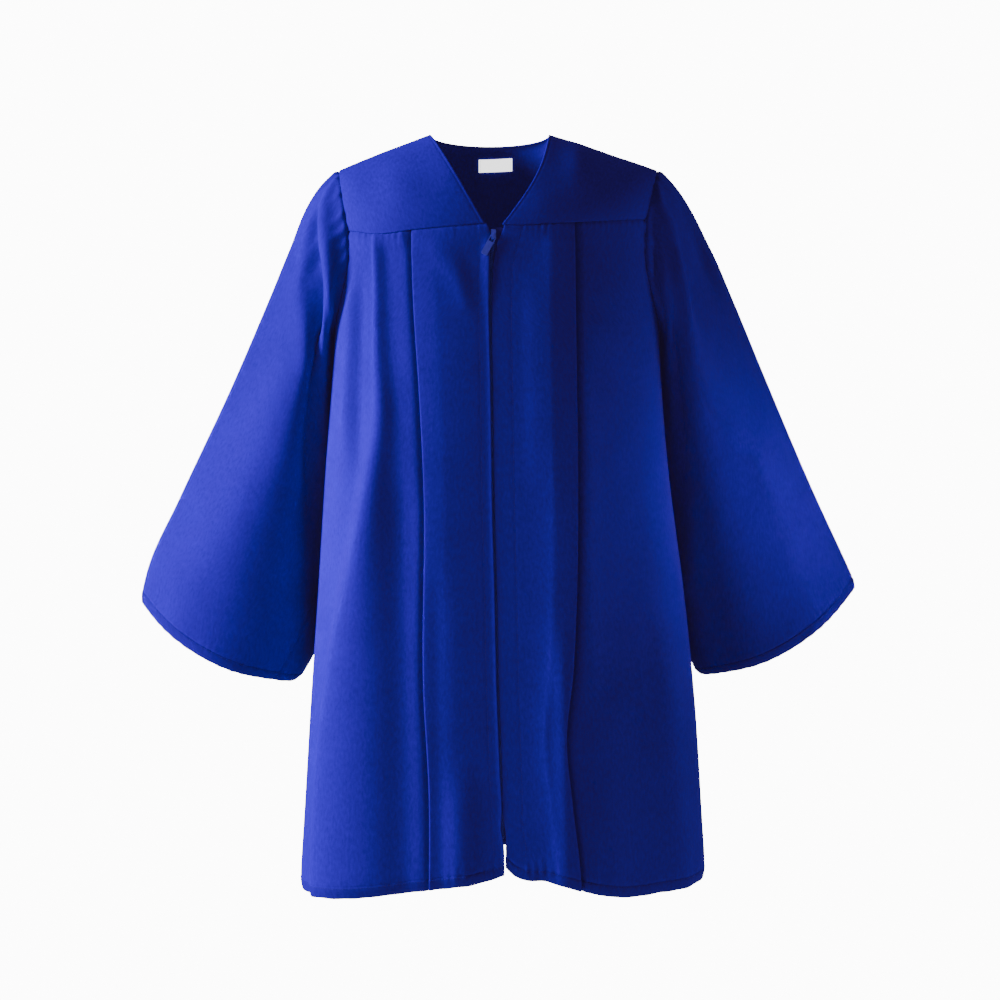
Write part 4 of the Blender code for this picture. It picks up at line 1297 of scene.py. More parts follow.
@dataclass
class Yoke:
    """The three yoke pieces, arched over the shoulders."""

    form: GownForm
    neck_back_y: float = 60.0
    neck_back_z: float = -3.0
    neck_bow: float = 8.5
    edge_groove: float = -0.22
    overlap: float = 0.6
    cloth: float = 1.0

    def _column(self, face: Face, foot: float, crest: Sequence[float], bow: float = 0.0) -> np.ndarray:
        """One line of a yoke, arched from its crest down to its seam.

        Args:
            face: Front or back.
            foot: The x at which it meets the seam.
            crest: Where it begins.
            bow: How far to the left it bows half way.

        Returns:
            The line's places.
        """
        form, power = self.form, self.form.roundness[face]
        z = float(form.seam[face](foot))
        share = form.along(face, z, foot) / form.line(face, z)[2][-1]
        seam = form.point(face, np.array(z), np.array(share), np.array(form.yoke_lift))
        base = seam - [0, 0, self.overlap]
        turns = np.radians(widen(np.linspace(0.0, 90.0, 37), 0.5))
        rise, reach = np.cos(turns) ** (2 / power), np.sin(turns) ** (2 / power)
        x = base[0] + (crest[0] - base[0]) * rise + bow * np.sin(math.pi * rise)
        y = crest[1] + (base[1] - crest[1]) * reach
        return np.stack([x, y, base[2] + (crest[2] - base[2]) * rise], -1)

    def front(self, side: Side, dents: tuple) -> Sheet:
        """A front yoke.

        Args:
            side: The wearer's side.
            dents: Soft dents and swells: x, z, height, and width across and down.

        Returns:
            The piece as a sheet.
        """
        form = self.form
        corner = form.yoke_corner(Face.FRONT, side)[0]
        inner = float(form.zip_x(form.neck_point) + side * form.zip_gap(form.neck_point))
        pressed = [0.006, 0.012, 0.018, 0.024, 0.031, 0.04]
        shares = [0.0, *pressed, *np.linspace(0.05, 1, 43)[:-1], 0.994, 1.0]
        columns = []
        for share in shares:
            bow = self.neck_bow * (1 - share) ** 2 if side == Side.LEFT else 0.0
            foot = inner + (corner - inner) * share
            columns.append(self._column(Face.FRONT, foot, form.crest(side, share), bow))
        sheet = Sheet(f"front_yoke_{side.name.lower()}", np.stack(columns, 1), self.cloth)
        across = np.array(shares[::-1] if sheet.turned else shares) * abs(corner - inner)
        lift = np.zeros(sheet.grid.shape[:2]) + self.edge_groove * bell(across - 2.6, 0.9)
        for x, z, height, wide, tall in dents:
            lift += height * bell(sheet.grid[..., 0] - x, wide) * bell(sheet.grid[..., 2] - z, tall)
        sheet.grid = sheet.grid + sheet.normals() * lift[..., None]
        return sheet

    def crests(self) -> list[tuple[float, float, float]]:
        """Lay out the back yoke's upper edge.

        Returns:
            Its places along the right shoulder, the back neck and the left shoulder.
        """
        right, left = self.form.crest(Side.RIGHT, 0)[0], self.form.crest(Side.LEFT, 0)[0]
        middle, half, rise = (right + left) / 2, (left - right) / 2, self.form.crest(Side.LEFT, 0)[2]
        ends = {side: [self.form.crest(side, share) for share in np.linspace(1, 0.04, 16)] for side in Side}
        neck = []
        for turn in np.linspace(0, math.pi, 41):
            y, z = self.neck_back_y * math.sin(turn), rise + (self.neck_back_z - rise) * math.sin(turn)
            neck.append((middle - half * math.cos(turn), y, z))
        return ends[Side.RIGHT] + neck + ends[Side.LEFT][::-1]

    def back(self) -> Sheet:
        """Lay out the back yoke.

        Returns:
            The piece as a sheet.
        """
        right, left = (float(self.form.yoke_corner(Face.BACK, side)[0]) for side in Side)
        crests = self.crests()
        feet = [right + (left - right) * i / (len(crests) - 1) for i in range(len(crests))]
        columns = [self._column(Face.BACK, foot, crest) for foot, crest in zip(feet, crests)]
        return Sheet("back_yoke", np.stack(columns, 1), self.cloth)


@dataclass
class Sleeve:
    """A bell sleeve: gathered to the armhole, open at the cuff."""

    name: str
    form: GownForm
    side: Side
    rows: tuple
    creases: tuple[Crease, ...]
    lobes: tuple[Crease, ...]
    gathers: tuple
    seed: float
    length: float = 425.0
    cuff_dip: float = 17.0
    join: float = 0.2
    seam_gap: float = 0.2
    seam_groove: float = 2.0
    head_sink: float = 1.3
    gather_rise: float = 0.012
    pucker_pitch: float = 8.0
    sway_pitch: float = 23.0
    sway: float = 0.5
    lean_front: float = 0.7
    lean_back: float = 0.3
    crest_heading: tuple = (0.62, -0.60)
    under_heading: tuple = (0.1, -0.1)
    turning: Turning = Turning(curl=2.2)
    seam: Curve = field(default_factory=lambda: Curve(
        (0.0, 0.6, 0.7, 0.77, 0.85, 0.93, 1.0), (180, 178, 168, 155, 145, 140.5, 139.5)))

    def _angles(self) -> np.ndarray:
        """Space the sleeve's lines, closest at its gathers and its seam.

        Returns:
            Their angles from the crest towards the front.
        """
        gathered, beside = np.linspace(-116, 116, 156), np.linspace(119, 136.4, 6)
        seam, under = np.arange(137, 167.6, 0.6), np.linspace(168, 244, 23)[:-1]
        return np.concatenate([gathered, beside, seam, under])

    def _alongs(self) -> np.ndarray:
        """Space the sleeve's rows, closest at its head and its cuff.

        Returns:
            Their places down the sleeve, as shares of its length.
        """
        near = [-0.009, -0.005, -0.002, 0.0, 0.002, 0.005, 0.009, 0.014, 0.02]
        hem = self.turning.depth / self.length
        middle = 0.02 + (1 - hem - 0.014 - 0.02) * np.linspace(0, 1, 92)[1:] ** 1.12
        last = [1 - hem - d / self.length for d in ROWS_ABOVE_HEM_STITCHES]
        return np.array(near + middle.tolist() + last + [1.0])

    def _start(self, angle: float) -> np.ndarray:
        """The sleeve's beginning, on the armhole's edge.

        Args:
            angle: The line's angle from the crest.

        Returns:
            The place.
        """
        turn = math.radians(angle)
        top, low = self.form.crest(self.side, 1)[2], self.form.underarm
        z = (top + low) / 2 + (top - low) / 2 * math.cos(turn)
        face = Face.FRONT if math.sin(turn) > 0 else Face.BACK
        return self.form.armhole_edge(face, self.side, z) + [self.side * self.seam_gap, 0, 0]

    def _fullness(self, turn: np.ndarray) -> np.ndarray:
        """How far forward the section stands: it is fullest low down.

        Args:
            turn: The turns round the section from its crest.

        Returns:
            The distance at each turn, as a share of the section's reach.
        """
        lean = np.where(np.sin(turn) > 0, self.lean_front, self.lean_back)
        low, leans = np.radians(np.arange(90, 181))[:, None], (self.lean_front, self.lean_back)
        front, back = (np.max(np.sin(low) * (1 - part * np.cos(low))) for part in leans)
        return np.sin(turn) * (1 - lean * np.cos(turn)) / np.where(np.sin(turn) > 0, front, back)

    def base(self, angles: np.ndarray, alongs: np.ndarray) -> np.ndarray:
        """The sleeve's form before its creases.

        Args:
            angles: The angles of its lines.
            alongs: The shares of its length of its rows.

        Returns:
            The grid of places.
        """
        turn = np.radians(angles)[None, :]
        along = alongs[:, None]
        places, *columns = zip(*self.rows)
        values = [Curve(places, column)(along) for column in columns]
        crest, under = np.stack(values[:3], -1), np.stack(values[3:6], -1)
        reach = np.where(np.sin(turn) > 0, values[6], values[7])
        section = (crest + under) / 2 + (crest - under) / 2 * np.cos(turn)[..., None]
        section = section + np.stack([0 * reach, -reach * self._fullness(turn), 0 * reach], -1)
        start = np.array([self._start(float(a)) for a in angles])[None]
        crested = (1 + np.cos(turn)) / 2
        outward, upward = (
            under + (crest - under) * crested for crest, under in zip(self.crest_heading, self.under_heading)
        )
        heading = np.stack([self.side * outward, 0 * outward, upward], -1)
        head = start + heading * (self.length * along)[..., None]
        blend = ease(along / self.join)[..., None]
        return head + (section - head) * blend

    def grid(self) -> tuple[np.ndarray, np.ndarray, np.ndarray]:
        """Lay out the sleeve with its folds and its cuff.

        Returns:
            Its places, how far above the cuff's edge each is, and its ring centres.
        """
        angles, alongs = self._angles(), self._alongs()
        base = self.base(angles, alongs)
        before_cuff, cuff = self.base(angles, np.array([0.9, 1.0]))
        run = (cuff - before_cuff) / np.linalg.norm(cuff - before_cuff, axis=-1, keepdims=True)
        dip = self.cuff_dip * np.sin(np.radians(angles))[None, :] ** 2 * ease((alongs[:, None] - 0.3) / 0.7)
        base = base + run[None] * dip[..., None]
        centre = base.mean(1, keepdims=True)
        sheet = Sheet(self.name, base, self.turning.cloth, closed=True, core=centre)
        angle = angles[::-1] if sheet.turned else angles
        lift = self._lift(angle[None, :], alongs[:, None])
        above = np.broadcast_to((1 - alongs[:, None]) * self.length, lift.shape)
        puckers = uneven(angle[None, :] * 2.1, self.pucker_pitch, self.seed + 1)
        lift = lift + self.turning.shape(above, puckers)
        sway = self.sway * (uneven(angle * 2.6, self.sway_pitch, self.seed + 4) - 0.5)[None, :]
        sway = sway * ease(1 - above / 20)
        final = sheet.grid + sheet.normals() * lift[..., None]
        return final + (run[::-1] if sheet.turned else run)[None] * sway[..., None], above, centre

    def _lift(self, angle: np.ndarray, along: np.ndarray) -> np.ndarray:
        """How far the gathers, the creases and the seam move the cloth out.

        Args:
            angle: The angles of the sleeve's lines.
            along: The shares of its length of its rows.

        Returns:
            The distance out at each place.
        """
        signed = around(angle)
        total = -self.head_sink * np.where(along < 0, 1.0, bell(along * self.length, 2.2))
        for centre, height, width, reach in self.gathers:
            rise = ease(along / self.gather_rise) * (1 - ease((along - self.gather_rise) / reach)) ** 1.4
            total = total + height * rise * bell(signed - centre, width)
        for crease in self.creases:
            total = total + crease.lift(along, around(angle - crease.across(along)))
        for lobe in self.lobes:
            total = total + lobe.lift(signed, along * self.length - lobe.across(signed))
        return total - self.seam_groove * bell(around(angle - self.seam(along)), 1.5) * ease(along / 0.05)

    def sheet(self) -> Sheet:
        """The sleeve as a sheet of cloth."""
        grid, above, centre = self.grid()
        return Sheet(self.name, grid, self.turning.wall(above), closed=True, core=centre, hem_rows=HEM_ROWS)


# ---------------------------------------------------------------------------------------------------------
# Zip and label


@dataclass
class ZipFastener:
    """The zip: two tapes with their teeth, the slider and its pull tab."""

    form: GownForm
    top: float = -93.5
    end: float = -619.0
    tape_width: float = 10.8
    tape_cloth: float = 0.6
    set_back: float = 1.7
    slider_z: float = -99.4
    slider_half: float = 4.65
    tooth_pitch: float = 1.5
    tooth_inset: float = 0.45
    tooth_rise: float = 0.75
    edge_parted: float = 1.3
    edge_closed: float = 0.25

    def _inner(self, z: np.ndarray) -> np.ndarray:
        """How far each tape's edge stands off the zip's line."""
        return np.where(z > self.slider_z - self.slider_half - 1, self.edge_parted, self.edge_closed)

    def _point(self, side: Side, z: np.ndarray, place: np.ndarray, out: float) -> np.ndarray:
        """Find places beside the zip's line.

        Args:
            side: The wearer's side.
            z: The rows' heights, in one column.
            place: How far from the zip's line each place is.
            out: How far out from the front they stand.

        Returns:
            The places.
        """
        form = self.form
        heights = [float(h) for h in z[:, 0]]
        middle = np.array([form.along(Face.FRONT, h, float(form.zip_x(h))) for h in heights])[:, None]
        total = np.array([form.line(Face.FRONT, h)[2][-1] for h in heights])[:, None]
        share = (middle + side * place) / total
        lift = form.yoke_lift * ease(1 - (form.seam[Face.FRONT](0) - z) / form.lift_fade)
        return form.point(Face.FRONT, z, share, lift + out)

    def tape(self, side: Side) -> Sheet:
        """Lay out one tape, from its teeth's edge to its sewn edge.

        Args:
            side: The tape's side.

        Returns:
            The tape as a sheet.
        """
        z = np.array(widen(np.linspace(self.top, self.end, 150).tolist(), 0.6))[:, None]
        across = np.array([0, 0.08, 0.2, 0.35, 0.5, 0.7, 0.9, 1.0])[None, :]
        inner = self._inner(z)
        grid = self._point(side, z, inner + (self.tape_width - inner) * across, -self.set_back)
        return Sheet(f"zip_tape_woven_{side.name.lower()}", grid, self.tape_cloth)

    def _tooth(self) -> bpy.types.Object:
        """Model one moulded tooth: a block across the tape's edge whose head is wider than its foot.

        Returns:
            The tooth.
        """
        bpy.ops.object.select_all(action="DESELECT")
        bpy.ops.mesh.primitive_cube_add(size=MM)
        tooth = bpy.context.object
        bpy.ops.object.mode_set(mode="EDIT")
        bpy.ops.transform.resize(value=(0.75, 1.5, 1.0))
        pick(tooth, lambda normal: normal.y > 0.9)
        bpy.ops.transform.resize(value=(1.25, 1.0, 0.8))
        bpy.ops.mesh.select_all(action="SELECT")
        bpy.ops.mesh.bevel(offset=0.16 * MM, segments=1)
        bpy.ops.object.mode_set(mode="OBJECT")
        return tooth

    def teeth(self, side: Side) -> bpy.types.Object:
        """Set the row of teeth along one tape, parted inside the slider.

        Args:
            side: The tape's side.

        Returns:
            The teeth, as one piece.
        """
        offset = 0.0 if side == Side.RIGHT else self.tooth_pitch / 2
        under_slider = self.slider_z - self.slider_half - 0.6
        turn = Matrix(((0, -side, 0), (0, 0, -1), (side, 0, 0))).to_4x4()
        frames = []
        for high, low in ((self.top - 1.2, self.slider_z + 4.4), (under_slider, self.end + 3)):
            z = np.arange(high - offset, low, -self.tooth_pitch)[:, None]
            beside = self._inner(z) + self.tooth_inset
            places = self._point(side, z, beside, -self.set_back + self.tooth_rise).reshape(-1, 3)
            frames += [Matrix.Translation(Vector(here) * MM) @ turn for here in places]
        return repeat(self._tooth(), frames, f"zip_teeth_{side.name.lower()}")


@dataclass
class NeckLabel:
    """A bare satin label inside the back neck."""

    form: GownForm
    yoke: Yoke
    width: float = 30.5
    height: float = 11.0
    x: float = -1.5
    z: float = -18.5
    tilt: float = 2.0
    set_in: float = 1.3
    swell: float = 0.5
    cloth: float = 0.45

    def sheet(self) -> Sheet:
        """Lay the label along the back yoke's own lines.

        Returns:
            The label as a sheet.
        """
        back = self.yoke.back().grid
        back = back if back[0, 0, 0] < back[0, -1, 0] else back[:, ::-1]
        tilt = math.tan(math.radians(self.tilt))
        rows = []
        for down in widen(np.linspace(0.5, -0.5, 13), 0.03):
            row = []
            for across in widen(np.linspace(-0.5, 0.5, 25), 0.012):
                x = self.x + self.width * across
                z = self.z + self.height * down + tilt * self.width * across
                crossings = [
                    (np.interp(z, line[::-1, 2], line[::-1, 0]), np.interp(z, line[::-1, 2], line[::-1, 1]))
                    for line in back.swapaxes(0, 1)[10:-10]
                ]
                y = float(np.interp(x, *zip(*crossings)))
                swell = self.swell * math.cos(math.pi * across) * (0.5 - down)
                row.append((x, y - self.set_in - swell, z))
            rows.append(row)
        grid = np.array(rows)
        return Sheet("neck_label_satin", grid, self.cloth, core=grid + [0, 5.0, 0])


# ---------------------------------------------------------------------------------------------------------
# Studio


@dataclass
class Studio:
    """The camera, a pale floor and soft light."""

    camera_place: tuple = (0.0027, -2.3, -0.329)
    lens: float = 91.9
    floor_z: float = -1.15
    floor_size: float = 2.6
    ambient: float = 0.062
    backdrop: float = 15.0
    lamps: tuple = (
        ("key_lamp", (-2.35, -0.20, 0.45), (0.0, 0.0, -0.3), 1.1, 200, 180),
        ("rim_lamp", (2.4, 0.0, -0.10), (0.0, 0.0, -0.35), 1.0, 20, 180),
        ("front_lamp", (-0.5, -2.6, 1.2), (0.0, 0.0, -0.35), 1.4, 2.3, 180),
        ("left_lamp", (-1.75, -0.10, -0.05), (-0.30, 0.0, -0.33), 0.25, 0.3, 13),
        ("right_lamp", (2.0, -0.66, -0.16), (0.34, -0.02, -0.33), 0.20, 0.19, 9.5),
    )

    def camera(self) -> None:
        """Set the camera level in front of the gown."""
        bpy.ops.object.camera_add(location=self.camera_place, rotation=(math.pi / 2, 0, 0))
        camera = bpy.context.object
        camera.data.lens, camera.data.sensor_width = self.lens, 36.0
        camera.data.clip_end = 100
        bpy.context.scene.camera = camera

    def floor(self) -> None:
        """Lay a wide pale floor below the hem."""
        bpy.ops.mesh.primitive_plane_add(size=self.floor_size, location=(0, 0, self.floor_z))
        floor = bpy.context.object
        floor.name = "studio_floor"
        floor.data.materials.append(PlainFinish().make("studio_floor_finish"))
        floor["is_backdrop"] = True

    def lamp(self, name: str, place: tuple, aim: tuple, size: float, power: float, spread: float) -> None:
        """Hang a soft square lamp.

        Args:
            name: Its name.
            place: Where it hangs.
            aim: What it points at.
            size: Its side.
            power: Its power in watts.
            spread: How widely it fans out, in degrees.
        """
        bpy.ops.object.light_add(type="AREA", location=place)
        lamp = bpy.context.object
        lamp.name = name
        lamp.data.shape, lamp.data.size, lamp.data.energy = "SQUARE", size, power
        lamp.data.spread = math.radians(spread)
        lamp.rotation_euler = (Vector(aim) - Vector(place)).to_track_quat("-Z", "Y").to_euler()

    def world(self) -> None:
        """Light the gown a little from all round, before a bright plain backdrop."""
        world = bpy.context.scene.world or bpy.data.worlds.new("studio")
        bpy.context.scene.world = world
        world.use_nodes = True
        tree = world.node_tree
        ambient = tree.nodes["Background"]
        ambient.inputs["Color"].default_value = (1, 1, 1, 1)
        ambient.inputs["Strength"].default_value = self.ambient
        backdrop = tree.nodes.new("ShaderNodeBackground")
        backdrop.inputs["Strength"].default_value = self.backdrop
        blend = tree.nodes.new("ShaderNodeMixShader")
        tree.links.new(tree.nodes.new("ShaderNodeLightPath").outputs["Is Camera Ray"], blend.inputs[0])
        tree.links.new(ambient.outputs[0], blend.inputs[1])
        tree.links.new(backdrop.outputs[0], blend.inputs[2])
        tree.links.new(blend.outputs[0], tree.nodes["World Output"].inputs["Surface"])

    def build(self) -> None:
        """Set up the whole studio."""
        self.camera()
        self.floor()
        self.world()
        for lamp in self.lamps:
            self.lamp(*lamp)


# ---------------------------------------------------------------------------------------------------------
# The gown


@dataclass
class Gown:
    """All the gown's pieces."""

    form: GownForm = field(default_factory=GownForm)

    def fronts(self) -> None:
        """Hang the two fronts."""
        right_pleat = KnifePleat((
            (-80, -73.5, 12), (-156, -71, 12), (-243, -65.5, 11), (-329, -61.5, 10), (-500, -61.5, 9),
            (-584, -57, 8), (-680, -56.5, 8),
        ))
        left_pleat = KnifePleat((
            (-80, 66, 14), (-200, 67, 14), (-303, 68, 13), (-410, 67, 12), (-474, 64, 11), (-537, 58, 10),
            (-590, 63, 10), (-650, 70, 10), (-680, 71, 10),
        ), dip=5.5, rise=4.0, beside=((1.0, 0.8), (2.0, 1.0), (3.2, 0.85), (4.6, 0.3), (7.0, 0.05)))
        right_creases = (
            Crease((-80, -107, 3.4, 2.2, 7), (-128, -104.5, 4.8, 2.8, 8), (-195, -103, 6, 4.5, 9),
                   (-257, -100, 7, 9, 10), (-322, -109, 9, 11, 16), (-387, -120, 10.5, 13, 25),
                   (-453, -132, 11.5, 13, 37), (-530, -142, 12, 13, 50), (-690, -152, 11, 13, 56)),
            Crease((-290, -84, 0, 16, 14), (-350, -83, -3, 16, 14), (-700, -78, -3.5, 18, 14)),
            Crease((-112, -128, 0, 8, 8), (-165, -129, 3, 8, 8), (-250, -132, 3, 8, 8),
                   (-310, -134, 0, 8, 8)),
            Crease((-112, -118, 0, 8, 8), (-165, -119, -3, 8, 8), (-270, -121, -3, 8, 8),
                   (-340, -122, 0, 8, 8)),
            Crease((-96, -56, 0, 11, 12), (-135, -35, 1.8, 11, 12), (-160, -22, 1.8, 10, 12),
                   (-190, -10, 0, 10, 12)),
            Crease((-360, -52, 0, 9, 9), (-460, -51, -1.2, 9, 9), (-700, -47, -1.6, 9, 9)),
            Crease((-550, -30, 0, 13, 13), (-620, -30, 3, 13, 13), (-700, -30, 3, 13, 13)),
            Crease((-124, -5, 0, 8, 4), (-142, -5, 1.5, 8, 4), (-200, -5, 1.5, 8, 4),
                   (-270, -5, 0, 8, 4)),
        )
        left_creases = (
            Crease((-105, 34, 0, 14, 14), (-170, 36, 1.2, 16, 14), (-270, 38, 1.2, 16, 14),
                   (-335, 40, 0, 16, 14)),
            Crease((-170, 90, 0, 12, 20), (-230, 92, -3, 12, 22), (-445, 94, -4, 12, 24),
                   (-530, 95, 0, 12, 24)),
            Crease((-140, 112, 0, 26, 26), (-230, 117, -5, 28, 26), (-445, 122, -8, 32, 28),
                   (-570, 124, -5, 32, 28), (-700, 126, -4, 32, 28)),
            Crease((-550, 90, 0, 16, 16), (-620, 94, 3, 16, 16), (-700, 98, 3, 16, 16)),
            Crease((-420, 56, 0, 8, 8), (-490, 57, 2.5, 8, 8), (-700, 60, 2.5, 8, 8)),
            Crease((-420, 146, 0, 14, 14), (-490, 149, 3, 14, 14), (-700, 164, 3, 14, 14)),
        )
        right_hem = (
            (-176, -671), (-154, -669.5), (-131, -668.5), (-89, -663.5), (-48, -658), (-8, -651.5), (5, -647),
        )
        left_hem = (
            (8, -640.5), (13, -645.5), (43, -652), (84, -663), (115, -667), (147, -664.5), (187, -661),
        )
        right_half = (Half(Side.RIGHT, right_pleat, right_creases, 16, 42),)
        left_half = (Half(Side.LEFT, left_pleat, left_creases, 15, 44),)
        place = (self.form, Face.FRONT)
        right = Panel("front_cloth_right", *place, right_half, right_hem, 0.7, True, placket=2.4)
        left = Panel("front_cloth_left", *place, left_half, left_hem, 1.9, True, facing=17.0)
        for panel, node in ((right, "front_right"), (left, "front_left")):
            sheet = panel.sheet()
            lay(sheet, ROYAL_BLUE, Slot.CLOTH, node)
            beside_zip = np.s_[6:-HEM_ROWS, -8 if sheet.turned else 7]
            lines = [sheet.line(np.s_[-HEM_ROWS, :]), sheet.line(beside_zip)]
            dress(Stitch().sew(f"stitches_{node}", lines), BLUE_THREAD, Slot.CLOTH)

    def back(self) -> None:
        """Hang the back."""
        right = (
            Crease((-80, -38, 3, 5, 8), (-300, -42, 6, 8, 9), (-700, -50, 8, 11, 12)),
            Crease((-80, -82, 3, 5, 8), (-300, -92, 6, 9, 9), (-700, -116, 8, 12, 13)),
            Crease((-110, 0, 0, 18, 18), (-170, -1, -5, 18, 18), (-700, -4, -5, 18, 18)),
            Crease((-150, -62, 0, 14, 14), (-210, -65, -4, 14, 14), (-700, -80, -4, 14, 14)),
        )
        left = (
            Crease((-80, 36, 3, 8, 5), (-300, 40, 6, 9, 8), (-700, 52, 8, 12, 11)),
            Crease((-80, 80, 3, 8, 5), (-300, 94, 6, 9, 9), (-700, 124, 8, 13, 12)),
            Crease((-110, 0, 0, 18, 18), (-170, -1, -5, 18, 18), (-700, -4, -5, 18, 18)),
            Crease((-150, 62, 0, 14, 14), (-210, 65, -4, 14, 14), (-700, 84, -4, 14, 14)),
        )
        hem = ((-176, -671), (-90, -664), (0, -656), (90, -661), (187, -661))
        halves = (Half(Side.RIGHT, None, right, 0, 76), Half(Side.LEFT, None, left, 0, 76))
        panel = Panel("back_cloth", self.form, Face.BACK, halves, hem, 3.1, False)
        sheet = panel.sheet()
        lay(sheet, ROYAL_BLUE, Slot.CLOTH, "back")
        dress(Stitch().sew("stitches_back", [sheet.line(np.s_[-HEM_ROWS, :])]), BLUE_THREAD, Slot.CLOTH)

    def yokes(self) -> None:
        """Lay the three yokes over the shoulders."""
        yoke = Yoke(self.form)
        right = ((-112, -52, -1.2, 14, 22), (-84, -55, 1.0, 18, 26), (-40, -50, 0.6, 16, 20))
        left = ((104, -40, -1.0, 12, 20), (71, -31, 1.7, 11, 20), (40, -70, 0.7, 16, 16))
        lay(yoke.front(Side.RIGHT, right), ROYAL_BLUE, Slot.CLOTH, "yoke_front_right")
        lay(yoke.front(Side.LEFT, left), ROYAL_BLUE, Slot.CLOTH, "yoke_front_left")
        lay(yoke.back(), ROYAL_BLUE, Slot.CLOTH, "yoke_back")
        label = NeckLabel(self.form, yoke).sheet()
        lay(label, WHITE_SATIN, Slot.SATIN, "size_label")
        ends = [label.line(np.s_[1:-1, column]) for column in (2, -3)]
        dress(Stitch(1.9, 1.5, 0.3).sew("stitches_neck_label", ends), WHITE_THREAD, Slot.SATIN)

    def sleeves(self) -> None:
        """Set in the two sleeves."""
        right_rows = (
            (0.000, -141.5, 0, -32.5, -146.0, 0, -176, 49, 46),
            (0.035, -154.0, 0, -38.6, -147.6, 7, -183, 55, 50),
            (0.093, -166.6, 1, -60.0, -147.6, 20, -197, 59, 53),
            (0.167, -180.5, 2, -89.0, -147.6, 35, -221, 61, 54),
            (0.317, -205.5, 4, -148.5, -149.5, 48, -268, 63, 52),
            (0.500, -237.0, 6, -221.5, -153.0, 56, -333, 63, 50),
            (0.779, -287.6, 9, -329.2, -160.0, 58, -424, 62, 50),
            (0.930, -315.0, 11, -389.0, -169.5, 52, -470, 62, 54),
            (1.000, -323.0, 12, -420.0, -182.0, 46, -491, 62, 57),
        )
        left_rows = (
            (0.000, 143.3, 0, -32.5, 146.0, 0, -176, 49, 46),
            (0.035, 155.5, 0, -43.5, 147.6, 7, -183, 55, 50),
            (0.109, 172.0, 1, -67.6, 147.6, 22, -200, 59, 53),
            (0.209, 192.7, 2, -103.6, 147.8, 40, -234, 61, 54),
            (0.327, 212.6, 4, -148.6, 150.0, 50, -274, 63, 52),
            (0.500, 240.5, 6, -215.5, 156.0, 56, -333, 63, 50),
            (0.797, 289.4, 9, -329.3, 167.5, 58, -430, 62, 50),
            (0.940, 315.0, 11, -384.0, 176.5, 52, -470, 62, 54),
            (1.000, 325.5, 12, -407.0, 184.0, 46, -486, 62, 57),
        )
        right_creases = (
            Crease((0.20, 146, 0, 15, 20), (0.35, 150, 3, 17, 22), (0.7, 150, 4, 19, 22),
                   (1.1, 147, 8, 20, 22)),
            Crease((0.16, 110, 0, 12, 9), (0.24, 121, -8, 14, 10), (0.32, 126, -13, 16, 12),
                   (0.4, 131, -14, 16, 13), (0.52, 140, -10, 17, 14), (0.7, 148, -6, 17, 15),
                   (0.85, 150, 0, 16, 15)),
            Crease((0.3, 84, 0, 30, 28), (0.5, 80, 3.5, 32, 28), (0.75, 70, 6, 34, 30),
                   (1.1, 62, 6, 34, 32)),
            Crease((0.05, 250, 0, 15, 15), (0.15, 252, 6, 15, 15), (0.4, 259, 6, 15, 15),
                   (0.55, 262, 0, 15, 15)),
            Crease((0.10, 285, 0, 14, 14), (0.2, 288, -4, 14, 14), (0.45, 296, -4, 14, 14),
                   (0.6, 300, 0, 14, 14)),
            Crease((0.55, 262, 0, 18, 18), (0.7, 264, -5, 18, 18), (1.1, 270, -5, 18, 18)),
        )
        right_lobes = (
            Crease((24, 5, 0, 6, 7), (35, 17, 3, 8, 9), (46, 26, 5, 10, 9), (60, 31, 6, 11, 9),
                   (85, 35, 6.5, 12, 9), (110, 37, 6, 12, 10), (128, 40, 4, 12, 10),
                   (142, 46, 0, 12, 10)),
            Crease((34, 33, 0, 7, 12), (52, 48, -8, 9, 16), (65, 58, -13, 10, 20), (86, 64, -19, 11, 23),
                   (101, 70, -22, 12, 25), (115, 81, -20, 13, 26), (130, 97, -10, 14, 26),
                   (142, 116, 0, 14, 26)),
        )
        left_creases = (
            Crease((0.0, 38, 0, 9, 9), (0.03, 52, 4, 9, 9), (0.09, 68, 6.5, 9, 10), (0.118, 80, 7, 9, 10),
                   (0.17, 91, 7, 9, 11), (0.25, 94, 5.5, 10, 13), (0.33, 93, 3.5, 12, 15),
                   (0.46, 92, 0, 12, 16)),
            Crease((0.04, 22, 0, 12, 12), (0.12, 34, -3, 13, 13), (0.2, 40, -3, 13, 13),
                   (0.32, 44, 0, 14, 14)),
            Crease((0.12, 108, 0, 9, 10), (0.2, 120, -5, 10, 12), (0.36, 130, -7, 11, 14),
                   (0.55, 142, -6, 12, 15), (0.75, 148, 0, 12, 15)),
            Crease((0.50, 60, 0, 20, 20), (0.7, 62, 3, 20, 20), (1.1, 66, 3, 20, 20)),
            Crease((0.25, 146, 0, 15, 20), (0.4, 150, 3, 17, 22), (0.75, 150, 5, 19, 22),
                   (1.1, 147, 8, 20, 22)),
            Crease((0.05, 248, 0, 15, 15), (0.15, 250, 6, 15, 15), (0.4, 254, 6, 15, 15),
                   (0.55, 256, 0, 15, 15)),
            Crease((0.10, 282, 0, 14, 14), (0.2, 285, -4, 14, 14), (0.45, 293, -4, 14, 14),
                   (0.6, 296, 0, 14, 14)),
            Crease((0.55, 264, 0, 18, 18), (0.7, 265, -5, 18, 18), (1.1, 270, -5, 18, 18)),
        )
        left_lobes = (
            Crease((50, 11, 0, 6, 6), (73, 16, -3, 6, 7), (94, 22, -5, 7, 8), (123, 26, -5, 8, 9),
                   (137, 40, -3, 9, 10), (150, 50, 0, 9, 10)),
        )
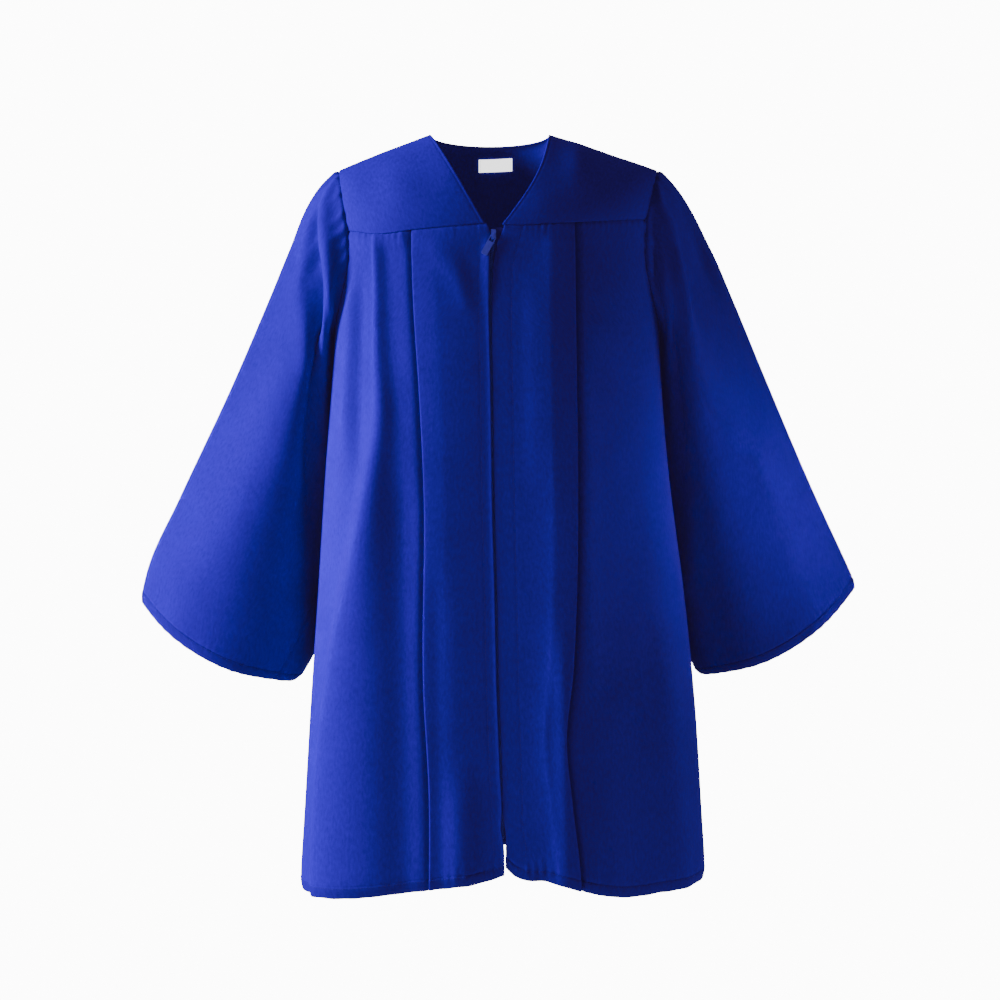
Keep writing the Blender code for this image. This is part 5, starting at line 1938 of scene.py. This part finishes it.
        right_gathers = (
            (-104, 1.6, 4.2, 0.10), (-91, 2.4, 4.6, 0.16), (-78, 1.8, 3.8, 0.09), (-67, 2.6, 4.4, 0.18),
            (-54, 2.0, 4.0, 0.12), (-43, 2.8, 4.4, 0.16), (-31, 1.8, 3.6, 0.10), (-20, 2.4, 4.2, 0.14),
            (-8, 1.8, 3.8, 0.10), (3, 2.2, 4.2, 0.13), (14, 2.6, 4.4, 0.16), (26, 1.6, 3.4, 0.09),
            (48, 1.2, 3.2, 0.05), (66, 1.6, 3.2, 0.06), (77, 1.9, 3.4, 0.08), (87, 1.3, 3.0, 0.05),
            (98, 1.6, 3.6, 0.07), (111, 1.1, 3.4, 0.05),
        )
        left_gathers = (
            (-107, 1.6, 4.2, 0.09), (-95, 2.4, 4.6, 0.15), (-82, 1.8, 3.8, 0.10), (-70, 2.6, 4.4, 0.17),
            (-57, 2.0, 4.0, 0.11), (-46, 2.6, 4.4, 0.16), (-34, 1.8, 3.6, 0.10), (-22, 2.4, 4.2, 0.15),
            (-10, 1.8, 3.8, 0.09), (2, 2.4, 4.2, 0.14), (15, 2.0, 4.0, 0.12), (27, 2.4, 4.0, 0.10),
            (39, 1.3, 3.2, 0.06), (72, 1.4, 3.2, 0.06), (82, 1.9, 3.4, 0.08), (93, 1.3, 3.0, 0.05),
            (104, 1.5, 3.6, 0.06),
        )
        right = Sleeve("sleeve_cloth_right", self.form, Side.RIGHT, right_rows, right_creases,
                       right_lobes, right_gathers, 0.4)
        left = Sleeve("sleeve_cloth_left", self.form, Side.LEFT, left_rows, left_creases,
                      left_lobes, left_gathers, 2.2, seam=Curve((0.0, 1.0), (180, 180)))
        for sleeve, node in ((right, "sleeve_right"), (left, "sleeve_left")):
            sheet = sleeve.sheet()
            lay(sheet, ROYAL_BLUE, Slot.CLOTH, node)
            cuff_line = sheet.line(np.s_[-HEM_ROWS, :])
            dress(Stitch().sew(f"stitches_{node}", [cuff_line]), BLUE_THREAD, Slot.CLOTH)

    def fastener(self) -> None:
        """Sew in the zip."""
        fastener = ZipFastener(self.form)
        for side, node in ((Side.RIGHT, "zip_tape_right"), (Side.LEFT, "zip_tape_left")):
            lay(fastener.tape(side), ZIP_BLUE, Slot.TAPE, node)
            dress(fastener.teeth(side), BLUE_ENAMEL, Slot.TAPE)
        for node in ("zip_slider", "zip_pull_tab"):
            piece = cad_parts[node]
            piece.data.materials.clear()
            piece.data.materials.append(BLUE_ENAMEL.make(f"{node}_finish"))

    def build(self) -> None:
        """Build every piece in order."""
        for step in (self.yokes, self.fronts, self.back, self.sleeves, self.fastener):
            step()
            log.info("done: %s", step.__name__)


def main() -> None:
    """Build the gown and its studio, and note both boxes."""
    logging.basicConfig(level=logging.INFO, format="%(message)s")
    bpy.ops.object.select_all(action="DESELECT")
    Gown().build()
    Studio().build()
    boxes = {"cad_box": CAD_BOX, "visual_box": [list(corner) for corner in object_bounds()]}
    log.info("boxes %s", boxes)


if __name__ == "__main__":
    main()
